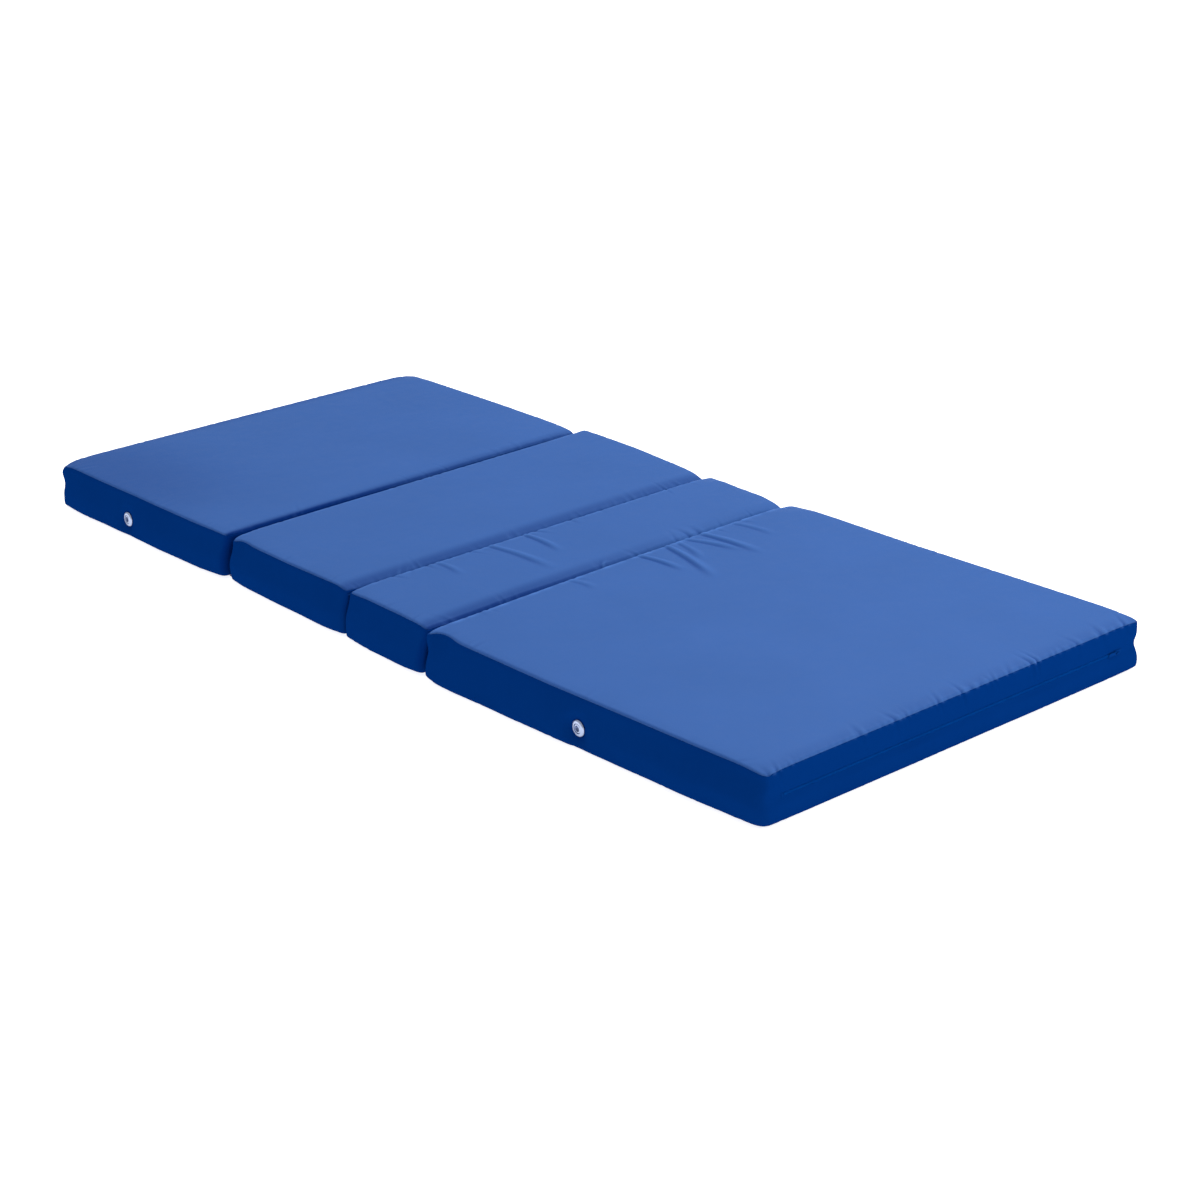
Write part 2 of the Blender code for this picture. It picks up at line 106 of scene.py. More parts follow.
# the near corner beside a joint: how far its tip stands out and hangs, how far the edge next to it draws
# in, the tip's width, and how far it reaches over the joint
NEAR_TIP = {2: (0.005, 0.005, 0.004, 0.016, 0.0), 4: (0.0125, 0.0045, 0.0075, 0.013, 0.006)}
# the recess of a zip: half its height, the height of its rounded edges, its depth
SLOT_HALF, SLOT_WALL, SLOT_DEPTH = 0.0031, 0.0006, 0.0004

# rows of the closed form, from the flat of the top to the flat underneath: degrees round an edge's
# rounding, or heights on the band
TOP_ROWS = (0, 18, 36, 50, 56, 60, 64, 74, 90)
BAND_ROWS = (0.07, 0.061, 0.054)
ZIP_ROWS = (SLOT_HALF + SLOT_WALL, SLOT_HALF, 0.0, -SLOT_HALF, -SLOT_HALF - SLOT_WALL)
LOW_ROWS = (0.033, 0.024)
BOTTOM_ROWS = (90, 66, 52, 48, 45, 42, 30, 14, 0)


def smooth(t):
    t = np.clip(t, 0, 1)
    return t * t * (3 - 2 * t)


def rounded_ring(low, high, radii, s, t):
    """Points of a rounded rectangle for places (s, t) round the edge of the square -1..1, and normals."""
    x = low[0] + (high[0] - low[0]) * (s + 1) / 2
    y = low[1] + (high[1] - low[1]) * (t + 1) / 2
    nx = np.where(np.abs(s) >= 1 - 1e-9, np.sign(s), 0.0)
    ny = np.where(np.abs(t) >= 1 - 1e-9, np.sign(t), 0.0)
    for corner, (sx, sy) in zip(radii, ((-1, -1), (-1, 1), (1, -1), (1, 1))):
        cx = (high[0] - corner) if sx > 0 else (low[0] + corner)
        cy = (high[1] - corner) if sy > 0 else (low[1] + corner)
        inside = ((x - cx) * sx >= 0) & ((y - cy) * sy >= 0)
        dx, dy = x - cx, y - cy
        size = np.maximum(np.hypot(dx, dy), 1e-9)
        x = np.where(inside, cx + corner * dx / size, x)
        y = np.where(inside, cy + corner * dy / size, y)
        nx = np.where(inside, dx / size, nx)
        ny = np.where(inside, dy / size, ny)
    return np.stack([x, y], 1), np.stack([nx, ny], 1)


def ring_shape(number, row):
    """A row's rectangle and corner radii, its height and its distance along the profile from the last arc."""
    kind, value = row
    low, high = BAND_BOX[number]
    reach_l, reach_r = EDGE_REACH[number]
    if kind == "top":
        share = 1 - sin(radians(value))
        inset = (reach_l * share, reach_r * share, SIDE_REACH * share)
        z = TOP - TOP_DROP * (1 - cos(radians(value)))
    elif kind == "bottom":
        share = 1 - sin(radians(value))
        inset = (BOTTOM_ROUND * share,) * 3
        z = BOTTOM_ROUND * (1 - cos(radians(value)))
    else:
        inset = (0.0, 0.0, 0.0)
        z = value
    rect_low = (low.x + inset[0], -HALF_WIDTH + inset[2])
    rect_high = (high.x - inset[1], HALF_WIDTH - inset[2])
    insets = (inset[0], inset[0], inset[1], inset[1])
    grown = [r + more * (1 - z / TOP) for r, more in zip(PLAN_RADIUS[number], LOW_RADIUS[number])]
    radii = [max(r - i, LEAST_RADIUS) for r, i in zip(grown, insets)]
    return rect_low, rect_high, radii, z


def cushion_mesh(number):
    """The closed base form of one section's cover, with its seam rows marked and a map in metres."""
    low, high = BAND_BOX[number]
    nx = round((high.x - low.x) / GRID_STEP[0])
    ny = round(2 * HALF_WIDTH / GRID_STEP[1])
    gs, gt = np.linspace(-1, 1, nx + 1), np.linspace(-1, 1, ny + 1)
    # the edge of the grid, in order round it
    ring = [(i, 0) for i in range(nx)] + [(nx, j) for j in range(ny)]
    ring += [(i, ny) for i in range(nx, 0, -1)] + [(0, j) for j in range(ny, 0, -1)]
    ring_s = np.array([gs[i] for i, j in ring])
    ring_t = np.array([gt[j] for i, j in ring])
    count = len(ring)
    rows = [("top", a) for a in TOP_ROWS]
    rows += [("band", z) for z in BAND_ROWS] + [("band", ZIP_LEVEL + d) for d in ZIP_ROWS]
    rows += [("band", z) for z in LOW_ROWS] + [("bottom", a) for a in BOTTOM_ROWS]
    points, seam, loops = [], [], []
    for kind, value in rows:
        rect_low, rect_high, radii, z = ring_shape(number, (kind, value))
        xy, normal = rounded_ring(rect_low, rect_high, radii, ring_s, ring_t)
        loops.append((xy, normal, z))
    length = [0.0]
    for (a, _, za), (b, _, zb) in zip(loops, loops[1:]):
        length.append(length[-1] + hypot(float(np.abs(a[0] - b[0]).max()), za - zb))
    top_seam = rows.index(("top", TOP_SEAM_ANGLE))
    bottom_seam = rows.index(("bottom", BOTTOM_SEAM_ANGLE))
    band_xy = loops[top_seam + 2][0]
    steps = np.linalg.norm(np.roll(band_xy, -1, 0) - band_xy, axis=1)
    around = np.concatenate([[0.0], np.cumsum(steps)])
    for r, (xy, _, z) in enumerate(loops):
        points.append(np.column_stack([xy, np.full(count, z)]))
        seam.append(np.full(count, 1.0 if r in (top_seam, bottom_seam) else 0.0))

    def cap(row, z):
        """The points inside a ring, drawn in to meet its rounded corners."""
        rect_low, rect_high, radii, _ = ring_shape(number, row)
        s, t = np.meshgrid(gs[1:-1], gt[1:-1], indexing="ij")
        s, t = s.ravel(), t.ravel()
        m = np.maximum(np.maximum(np.abs(s), np.abs(t)), 1e-9)
        edge, _ = rounded_ring(rect_low, rect_high, radii, s / m, t / m)
        w, h = rect_high[0] - rect_low[0], rect_high[1] - rect_low[1]
        sides = np.column_stack([rect_low[0] + w * (s / m + 1) / 2, rect_low[1] + h * (t / m + 1) / 2])
        flat = np.column_stack([rect_low[0] + w * (s + 1) / 2, rect_low[1] + h * (t + 1) / 2])
        near = 1 - (1 - m) * min(w, h) / 2 / CORNER_REACH
        flat += (edge - sides) * smooth(near)[:, None]
        return np.column_stack([flat, np.full(len(flat), z)])

    base_top = len(rows) * count
    top_points = cap(rows[0], TOP)
    bottom_points = cap(rows[-1], 0.0)
    inner = (nx - 1) * (ny - 1)
    co = np.concatenate(points + [top_points, bottom_points])
    seam = np.concatenate(seam + [np.zeros(2 * inner)])
    ring_index = {place: k for k, place in enumerate(ring)}

    def grid_vertex(i, j, top):
        if 0 < i < nx and 0 < j < ny:
            return base_top + (0 if top else inner) + (i - 1) * (ny - 1) + (j - 1)
        return ring_index[(i, j)] + (0 if top else (len(rows) - 1) * count)

    faces, face_uv, face_part = [], [], []
    flat_uv = co[:, :2]
    for top in (True, False):
        for i in range(nx):
            for j in range(ny):
                corners = ((i, j), (i + 1, j), (i + 1, j + 1), (i, j + 1))
                quad = [grid_vertex(a, b, top) for a, b in (corners if top else corners[::-1])]
                faces.append(quad)
                face_uv.append([tuple(flat_uv[v]) for v in quad])
                face_part.append(0 if top else 2)
    first, last = loops[0], loops[-1]
    for r in range(len(rows) - 1):
        which = 0 if r < top_seam else 1 if r < bottom_seam else 2
        for k in range(count):
            n = (k + 1) % count
            quad = [r * count + k, (r + 1) * count + k, (r + 1) * count + n, r * count + n]
            corners = ((r, k, k), (r + 1, k, k), (r + 1, n, k + 1), (r, n, k + 1))
            faces.append(quad)
            if which == 1:
                face_uv.append([(around[place], 2.0 - length[row]) for row, _, place in corners])
            else:
                xy, normal, _ = first if which == 0 else last
                start = length[0] if which == 0 else length[-1]
                face_uv.append([tuple(xy[c] + normal[c] * abs(length[at] - start)) for at, c, _ in corners])
            face_part.append(which)
    mesh = bpy.data.meshes.new(f"section_{number}_cover")
    mesh.from_pydata(co.tolist(), [], faces)
    layer = mesh.uv_layers.new(name="weave")
    layer.data.foreach_set("uv", np.array(face_uv, np.float32).ravel())
    mesh.polygons.foreach_set("material_index", np.array(face_part, np.int32))
    marks = mesh.attributes.new("seam", "FLOAT", "POINT")
    marks.data.foreach_set("value", seam.astype(np.float32))
    mesh.update()
    return mesh


def subdivide(obj):
    """Gives an object its mesh subdivided once."""
    modifier = obj.modifiers.new("finer", "SUBSURF")
    modifier.levels = modifier.render_levels = 1
    modifier.uv_smooth = "NONE"
    depsgraph = bpy.context.evaluated_depsgraph_get()
    finer = bpy.data.meshes.new_from_object(obj.evaluated_get(depsgraph), depsgraph=depsgraph)
    obj.modifiers.clear()
    old, name = obj.data, obj.data.name
    obj.data = finer
    bpy.data.meshes.remove(old)
    finer.name = name


def coordinates(mesh):
    co = np.zeros(len(mesh.vertices) * 3, np.float32)
    mesh.vertices.foreach_get("co", co)
    return co.reshape(-1, 3).astype(float)


def normals(mesh):
    out = np.zeros(len(mesh.vertices) * 3, np.float32)
    mesh.vertex_normals.foreach_get("vector", out)
    return out.reshape(-1, 3).astype(float)


def value_of(mesh, name):
    out = np.zeros(len(mesh.vertices), np.float32)
    mesh.attributes[name].data.foreach_get("value", out)
    return out.astype(float)


# ---- sculpting ----
def waves(x, y, rng, count, shortest, longest):
    """A smooth uneven field between about -1 and 1, a sum of waves in many directions."""
    total = np.zeros_like(x)
    for _ in range(count):
        angle = rng.uniform(0, pi)
        wave = 2 * pi / rng.uniform(shortest, longest)
        total += np.sin(wave * (x * cos(angle) + y * sin(angle)) + rng.uniform(0, 2 * pi))
    return total / np.sqrt(count)


def fade(distance, reach):
    """1 at a line, going to 0 away from it."""
    return np.exp(-np.clip(distance, 0, None) / reach)


def bell(value, middle, width, power=2):
    return np.exp(-(((value - middle) / width) ** power))


CROWN = 0.002
CROWN_CAP = TOP + 0.003
FLOOR_GAP = 0.0004
SIDE_BULGE = 0.007
ZIP_BULGE = (0.0013, 0.0038)  # over and under a zip
SEAM_SINK = 0.0011
VENT_RING, VENT_HOLLOW = 0.0125, 0.009  # the hollow round a ventilator: radius and depth
FAR_SHARE = 0.6  # how much of the far top edge's shift goes inwards, the rest is mostly sinking
LONG_SIDE_GATHERS = 0.0005
# strengths of painted shade: on section 1's near strip, along the tops' long edges, along the bottom seams
# and in a ring round a ventilator
STRIP_SHADE, EDGE_SHADE, FOOT_SHADE, VENT_SHADE = 0.24, 0.3, 0.7, 0.8
# painted shade along the top edge of each free end
END_SHADE = {"left": 0.22, "right": 0.14}
# the slope of a section's top towards a joint: how far it reaches in, near side and far side, and its drop
SLOPES = {
    (1, "right"): (0.016, 0.022, 0.0046),
    (2, "right"): (0.036, 0.036, 0.0066),
    (3, "right"): (0.036, 0.03, 0.0062),
}
# painted shade on the top's fabric in those slopes, near and far; width of the crease at their foot; its
# painted shade, near and far; and the height that it reaches down to
SHADES = {
    (1, "right"): (0.42, 0.26, 0.008, 1.0, 0.55, 0.0),
    (2, "left"): (0.0, 0.0, 0.003, 0.9, 0.4, 0.0),
    (2, "right"): (0.5, 0.4, 0.006, 0.6, 0.55, 0.04),
    (3, "left"): (0.0, 0.0, 0.003, 0.5, 0.5, 0.04),
    (3, "right"): (0.48, 0.03, 0.01, 0.85, 0.0, 0.01),
    (4, "left"): (0.0, 0.0, 0.002, 0.4, 0.0, 0.01),
}
# how strong the painted highlight is along the edge beside a joint, where the rounded edge catches the light
RIM_HIGHLIGHTS = {(2, "left"): 0.5, (3, "left"): 0.6, (4, "left"): 1.0}
# how far a joint's line leans over the mat's width, towards -X at the far side
LEAN = {0: 0.0, 1: 0.018, 2: 0.004, 3: 0.027, 4: 0.0}
# how far its middle bows towards -X
BOW = {0: 0.0, 1: 0.001, 2: -0.001, 3: 0.0045, 4: 0.0}
# how far the whole line stands towards -X
ASIDE = {0: 0.0, 1: 0.0005, 2: 0.0005, 3: 0.0035, 4: 0.0}
# how far the walls inside the joints swell, low down and near the top
JOINT_SWELL = {
    (1, "right"): (0.001, 0.0008),
    (2, "left"): (0.0045, 0.003),
    (2, "right"): (0.0022, 0.0024),
    (3, "left"): (0.0018, 0.0022),
    (3, "right"): (0.0026, 0.0028),
    (4, "left"): (0.0022, 0.003),
}
# creases that run out of a joint: section, start, end (x, y), height (under 0 for a furrow), half width
CREASES = (
    (4, (0.213, 0.04), (0.315, 0.048), 0.0013, 0.005),
    (4, (0.213, 0.105), (0.372, 0.066), 0.0015, 0.006),
    (4, (0.213, 0.13), (0.3, 0.108), 0.0009, 0.005),
    (4, (0.212, 0.152), (0.312, 0.182), 0.0011, 0.0055),
    (4, (0.212, 0.19), (0.345, 0.2), 0.0014, 0.006),
    (4, (0.212, 0.265), (0.3, 0.278), 0.0008, 0.005),
    (4, (0.212, -0.12), (0.27, -0.112), 0.0006, 0.005),
    (3, (-0.02, -0.034), (0.09, -0.039), 0.0012, 0.005),
    (3, (-0.02, -0.112), (0.14, -0.099), 0.0011, 0.006),
    (3, (-0.02, -0.228), (0.056, -0.23), 0.0008, 0.005),
    (3, (0.2, -0.034), (0.178, -0.018), -0.0011, 0.003),
)
VENTS = {1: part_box("ventilator_1_flange"), 4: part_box("ventilator_4_flange")}


def joint_shift(joint, y):
    """How far the line of a joint lies towards -X at a place along it."""
    return ASIDE[joint] + LEAN[joint] * y / (2 * HALF_WIDTH) + BOW[joint] * (1 - (y / HALF_WIDTH) ** 2)


def lean_share(z):
    """How much of a joint's lean a height takes part in: none at the floor, all at the top."""
    return smooth((z - 0.018) / 0.06)


def crease_field(x, y, number):
    """Height and painted shade of the creases on a section's top: each a narrow ridge with a hollow beside
    it, painted shade in the hollow and a painted highlight on the ridge.
    """
    total, shade = np.zeros_like(x), np.zeros_like(x)
    for owner, start, end, height, half in CREASES:
        if owner != number:
            continue
        dx, dy = end[0] - start[0], end[1] - start[1]
        size = hypot(dx, dy)
        along = ((x - start[0]) * dx + (y - start[1]) * dy) / size
        across = (-(x - start[0]) * dy + (y - start[1]) * dx) / size
        t = np.clip(along / size, -0.2, 1.2)
        ends = smooth((t + 0.15) / 0.2) * smooth((1.15 - t) / 0.6)
        width = half * (0.7 + 0.6 * t)
        bow = 0.004 * np.sin(pi * np.clip(t, 0, 1))
        u = (across - bow) / width
        ridge, hollow = bell(u, 0, 1), bell(u, -1.5, 1)
        total += 1.4 * height * ends * (ridge - 0.85 * hollow)
        shade += height / 0.0015 * ends * (0.6 * hollow - 0.45 * ridge)
    return total, shade


# how dark the painted shade of the gathers is
PUCKER_SHADE = 400.0  # a gather's shade for each metre of its strength
USUAL_GATHERS = (0.0007, 0.03, 0.0)
# strength, spacing and lean of the gathers along a seam, where they aren't the usual ones
PUCKERS = {
    (4, "right"): (0.0017, 0.017, 0.4),
    (2, "right"): (0.0016, 0.024, 0.1),
    (3, "right"): (0.0013, 0.03, 0.0),
    (3, "left"): (0.0011, 0.028, 0.0),
    (4, "left"): (0.001, 0.034, 0.0),
}


def pucker_field(along, away, low, high, rng, spacing, height, reach, lean=0.0):
    """Depth and painted shade of short gathers that leave a seam: narrow dips at uneven places, with painted
    shade in each dip and a painted highlight beside it.
    """
    total, dark = np.zeros_like(along), np.zeros_like(along)
    place = low + rng.uniform(0, spacing)
    while place < high:
        half = rng.uniform(0.0028, 0.0052)
        size = height * (0.15 + 0.85 * rng.uniform(0, 1) ** 1.8)
        run = reach * (0.35 + 1.2 * size / height)
        slant = lean + rng.normal(0, 0.25)
        close = np.abs(along - place) < 0.04
        u = (along[close] - place - slant * away[close]) / half
        beside = bell(np.abs(u), 1.9, 1)
        ending = np.exp(-((away[close] / run) ** 1.5))
        total[close] -= size * (np.exp(-u * u) - 0.5 * beside) * ending
        dark[close] += size / height * (np.exp(-1.4 * u * u) - 0.45 * beside) * ending
        place += spacing * rng.uniform(0.35, 2.1)
    return total, dark
# corners that a zip's end draws in: place, depth, how far the foot and the part over the zip stand out
PINCHES = {
    1: (
        (BAND_BOX[1][0].x, -HALF_WIDTH, 0.003, -0.001, 0.0065),
        (BAND_BOX[1][0].x, HALF_WIDTH, 0.003, 0.002, 0.0),
    ),
    4: (
        (BAND_BOX[4][1].x, HALF_WIDTH, 0.0042, 0.0025, 0.0),
        (BAND_BOX[4][1].x, -HALF_WIDTH, 0.0012, 0.003, 0.0),
    ),
}
# how far a soft corner sinks and lifts, and its reach: at the mat's ends, at the joints, and at single
# corners (left near, left far, right near, right far)
OUTER_CORNER, JOINT_CORNER = (0.0035, 0.001, 0.03), (0.0025, 0.0022, 0.03)
SPECIAL_CORNERS = {
    (1, 0): (0.006, 0.001, 0.026),
    (1, 2): (0.001, 0.0022, 0.03),
    (2, 1): (0.0, 0.002, 0.03),
    (2, 2): (0.001, 0.0022, 0.02),
    (3, 2): (0.0018, 0.0022, 0.022),
    (3, 3): (0.0065, 0.002, 0.04),
    (4, 0): (0.0015, 0.008, 0.016),
    (4, 1): (0.004, 0.002, 0.035),
}


def corner_list(number):
    """(x, y, how far it sinks, how far it lifts, reach) of each soft corner of a section."""
    ends = ((BAND_BOX[number][0].x, number == 1), (BAND_BOX[number][1].x, number == 4))
    places = [(x, y, outer) for x, outer in ends for y in (-HALF_WIDTH, HALF_WIDTH)]
    for index, (x, y, outer) in enumerate(places):
        yield x, y, *SPECIAL_CORNERS.get((number, index), OUTER_CORNER if outer else JOINT_CORNER)


def sculpt(obj, number):
    mesh = obj.data
    rng = np.random.default_rng(40 + number)
    co, nrm, seam = coordinates(mesh), normals(mesh), value_of(mesh, "seam")
    low, high = BAND_BOX[number]
    x, y, z = co.T
    left, right = x - low.x, high.x - x
    near, far = y + HALF_WIDTH, HALF_WIDTH - y
    up = smooth((z / TOP - 0.5) * 2.2)
    on_top = np.clip(nrm[:, 2], 0, 1) ** 2
    on_side = 1 - np.clip(np.abs(nrm[:, 2]), 0, 1) ** 2
    move = np.zeros_like(co)
    # painted shade collects in fold (over 0) and painted highlight in lit; both go into the fabric's colour
    fold, lit = np.zeros_like(x), np.zeros_like(x)

    # the crown of the top, and its slight unevenness
    inward = (1 - fade(left, 0.05)) * (1 - fade(right, 0.05)) * (1 - fade(near, 0.06)) * (1 - fade(far, 0.06))
    uneven = waves(x, y, rng, 9, 0.16, 0.42)
    fine = waves(x, y, rng, 12, 0.05, 0.12)
    move[:, 2] += on_top * inward * (CROWN + 0.0005 * uneven + 0.00012 * fine)

    # the sides swell between their seams, and are held in at their ends
    share = np.clip(z / TOP, 0, 1)
    swell = share**0.5 * (1 - share) ** 0.95 / 0.393
    low_part, high_part = bell(z, 0.034, 0.026), bell(z, 0.07, 0.014)
    slot = bell(z, ZIP_LEVEL, 0.01, 4)
    walls = (
        ("left", left, y, -HALF_WIDTH, HALF_WIDTH, (-1, 0)),
        ("right", right, y, -HALF_WIDTH, HALF_WIDTH, (1, 0)),
        ("near", near, x, low.x, high.x, (0, -1)),
        ("far", far, x, low.x, high.x, (0, 1)),
    )
    free = {"left": number == 1, "right": number == 4, "near": True, "far": True}
    for wall, distance, along, first, last, way in walls:
        at_wall = fade(distance, 0.01) * on_side
        facing = np.clip(nrm[:, 0] * way[0] + nrm[:, 1] * way[1], 0, 1)
        ends = (1 - fade(along - first, 0.035)) * (1 - fade(last - along, 0.035))
        if free[wall]:
            size = SIDE_BULGE * swell
        else:
            below, above = JOINT_SWELL[number, wall]
            size = below * low_part + above * high_part
            ends = 0.7 + 0.3 * ends
        if ZIP_WALL[number] == wall:
            size = np.where(z > ZIP_LEVEL, *ZIP_BULGE) * swell * (1 - slot)
        wobble = 1 + 0.25 * np.sin(along * 2 * pi / 0.31 + number) + 0.15 * np.sin(along * 2 * pi / 0.13)
        push = size * ends * wobble * facing * at_wall
        if wall == "near" and number in VENTS:
            middle_of_vent = (VENTS[number][0] + VENTS[number][1]) / 2
            away = np.hypot(x - middle_of_vent.x, z - middle_of_vent.z)
            push *= 1 - bell(away, 0, 0.024, 4)
            deep = smooth((VENT_RING - away) / 0.003)
            push -= VENT_HOLLOW * deep * facing * fade(distance, 0.02)
            # painted shade in a ring round the ventilator's hollow
            fold = np.maximum(fold, VENT_SHADE * facing * bell(away, 0.014, 0.004))
        move[:, 0] += way[0] * push
        move[:, 1] += way[1] * push

        # the near side's foot stands out, more in places
        if wall == "near":
            at_low, at_high = NEAR_FOOT[number]
            out = at_low + (at_high - at_low) * np.clip((x - low.x) / (high.x - low.x), 0, 1)
            out = out * np.clip(1 - z / TOP, 0, 1) ** 1.2 * fade(distance, 0.05)
            if number in VENTS:
                out *= 1 - bell(away, 0, 0.03, 4)
            move[:, 1] -= out

        # the long top edges aren't quite straight
        if wall in ("near", "far"):
            knots = np.array((NEAR_TOP if wall == "near" else FAR_TOP)[number]).T
            # the shift sets in over this height, clear of a zip
            foot, rising = (0.056, 0.024) if ZIP_WALL[number] == wall else (0.03, 0.05)
            inwards = np.interp(x, *knots) * smooth((z - foot) / rising) * fade(distance, 0.05)
            share = 1.0 if wall == "near" else FAR_SHARE
            move[:, 1] -= way[1] * inwards * share
            move[:, 2] -= 0.68 * (1 - share) * inwards
        if wall == "near" and number in NEAR_TIP:
            tip, hang, dent, width, ahead = NEAR_TIP[number]
            pointed = bell(left, -0.002, width)
            shape = dent * bell(left, 0.036, 0.026) - tip * pointed
            gate = smooth((z - 0.04) / 0.04) * fade(distance, 0.03)
            move[:, 1] += shape * gate
            move[:, 0] -= ahead * bell(left, 0, 0.02) * gate
            move[:, 2] -= hang * pointed * gate * fade(distance, 0.02)

        # gathers along the top and the bottom seam
        strength, spacing, lean = PUCKERS.get((number, wall), USUAL_GATHERS)
        if wall in ("near", "far"):
            strength = LONG_SIDE_GATHERS
        above = np.clip(TOP - TOP_DROP / 2 - z, 0, None) + np.clip(distance - 0.002, 0, None)
        close = (distance < 0.05) & (z > TOP * 0.5)
        field, dark = np.zeros_like(x), np.zeros_like(x)
        field[close], dark[close] = pucker_field(
            along[close], above[close], first + 0.01, last - 0.01, rng, spacing, strength, 0.014, lean
        )
        # painted shade in each gather and a painted highlight beside it
        dark *= min(1, strength * PUCKER_SHADE) * smooth(2.5 * nrm[:, 2])
        fold, lit = np.maximum(fold, dark), np.maximum(lit, -dark)
        move += nrm * (field * np.where(facing > 0.05, 1.0, on_top))[:, None]
        below = np.abs(z - 0.006) + np.clip(distance - 0.006, 0, None)
        close = (distance < 0.03) & (z < TOP * 0.5)
        field = np.zeros_like(x)
        field[close], _ = pucker_field(
            along[close], below[close], first + 0.01, last - 0.01, rng, 0.034, 0.0006, 0.012
        )
        move += nrm * (field * on_side)[:, None]

        # the recess that the zip lies in
        if ZIP_WALL[number] == wall:
            tape_low, tape_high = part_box(f"zip_{number}_coil")
            k = 1 if wall in ("left", "right") else 0
            ends_at = (tape_low[k] - 0.005, tape_high[k] + 0.005)
            within = smooth((along - ends_at[0]) / 0.003 + 0.5) * smooth((ends_at[1] - along) / 0.003 + 0.5)
            sunk = smooth((SLOT_HALF + SLOT_WALL - np.abs(z - ZIP_LEVEL)) / SLOT_WALL)
            push = -SLOT_DEPTH * within * sunk * facing
            move[:, 0] += way[0] * push
            move[:, 1] += way[1] * push

    # soft corners: the fabric stands away from the foam, so they sink from above and lift from below
    for corner_x, corner_y, drop, lift, size in corner_list(number):
        away = np.hypot(x - corner_x, y - corner_y)
        move[:, 2] -= drop * bell(away, 0, size) * up
        move[:, 2] += lift * bell(away, 0, 1.6 * size) * (1 - z / TOP) ** 2

    # the zip's ends draw the band in at the corners beside it, and it stands out again below and above
    for corner_x, corner_y, depth, flare, ear in PINCHES.get(number, ()):
        away = np.hypot(x - corner_x, y - corner_y)
        pull = depth * bell(away, 0, 0.026) * bell(z, ZIP_LEVEL, 0.012) * on_side
        move -= nrm * pull[:, None]
        stand = flare * bell(away, 0, 0.045) * bell(z, 0.014, 0.02)
        stand += ear * bell(away, 0, 0.026) * bell(z, 0.072, 0.013) * on_side
        move[:, 0] += np.sign(corner_x) * stand
        move[:, 1] += np.sign(corner_y) * stand * 0.6

    # the slopes towards the joints, with painted shade on them and in the crease at their foot, and a painted
    # highlight along the edges beside a joint
    for wall, distance in (("left", left), ("right", right)):
        reach_near, reach_far, drop = SLOPES.get((number, wall), (0.01, 0.01, 0.0))
        across = smooth(y / (0.6 * HALF_WIDTH) * 0.5 + 0.5)
        reach = reach_near + (reach_far - reach_near) * across
        wander = 1 + 0.12 * np.sin(y * 2 * pi / 0.37 + number) + 0.08 * np.sin(y * 2 * pi / 0.17)
        ramp = np.clip(1 - distance / reach, 0, 1)
        held = 1 - 0.75 * bell(near, 0, 0.035)
        move[:, 2] -= drop * up * wander * held * ramp**1.4
        shades = SHADES.get((number, wall), (0, 0, 0.01, 0, 0, 0))
        slope_near, slope_far, width, crease_near, crease_far, foot = shades
        slope_shade = slope_near + (slope_far - slope_near) * across
        crease_shade = crease_near + (crease_far - crease_near) * across
        # painted shade on the slope, and in the crease at its foot
        fold = np.maximum(fold, slope_shade * smooth(ramp * 1.5) * smooth((z - 0.072) / 0.01))
        depth = smooth((z - foot) / 0.03 + 0.5)
        fold = np.maximum(fold, crease_shade * smooth(1.5 - distance / width) * depth)
        # a painted highlight along the edge beside a joint
        light = RIM_HIGHLIGHTS.get((number, wall), 0.0) * bell(distance, 0.005, 0.006) * smooth((z - 0.078) / 0.005)
        light *= 0.55 + 0.45 * np.sin(y * 2 * pi / 0.11 + number) * np.sin(y * 2 * pi / 0.047)
        fold = np.where(light > 0.02, np.minimum(fold, 0.3), fold)
        lit = np.maximum(lit, light)

    # each joint's line leans a little, because the sections lie loosely
    at_left = smooth(right / (high.x - low.x))
    shift = joint_shift(number - 1, y) * at_left + joint_shift(number, y) * (1 - at_left)
    move[:, 0] -= shift * lean_share(z)

    # painted shade: section 1's near strip, the tops' edges and the bottom seams are made a little darker
    if number == 1:
        strip = smooth((-0.12 - y) / 0.25) * smooth((-0.42 - x) / 0.35)
        fold = np.maximum(fold, STRIP_SHADE * strip * on_top)
    for wall, distance in (("left", left), ("right", right)):
        if free[wall]:
            fold = np.maximum(fold, END_SHADE[wall] * smooth((0.036 - distance) / 0.03) * on_top)
    for distance in (near, far):
        at_edge = smooth((0.008 - distance) / 0.006) * smooth((z - 0.075) / 0.006)
        fold = np.maximum(fold, EDGE_SHADE * at_edge * up)
    fold = np.maximum(fold, FOOT_SHADE * smooth((0.012 - z) / 0.01))

    # creases on the top, with their painted shade and highlight; the painted highlights go in as shade under
    # 0; and the seam line itself
    height, shade = crease_field(x, y, number)
    inner = smooth(np.minimum(left, right) / 0.004 + 0.3)
    move[:, 2] += on_top * height * inner
    fold += on_top * shade * inner - lit
    move -= nrm * (SEAM_SINK * smooth(seam) * np.where(z > TOP / 2, 0.5, 1.0))[:, None]
    co += move
    co[:, 2] = np.clip(co[:, 2], FLOOR_GAP, CROWN_CAP)
    mesh.vertices.foreach_set("co", co.astype(np.float32).ravel())
    # the painted shade and highlight, kept for the fabric's colour
    marks = mesh.attributes.new("fold", "FLOAT", "POINT")
    marks.data.foreach_set("value", np.clip(fold, -1, 1).astype(np.float32))
    mesh.update()


# ---- the fabric's own rest ----
SETTLE_FRAMES = 20
SETTLE_CAP = 0.003  # the most that a point moves
SETTLE_SMOOTHING = 5  # rounds of averaging
BAND_SHARE = 0.5  # how much of the move the band takes
FIRM = 0.3  # how firmly the foam holds the fabric


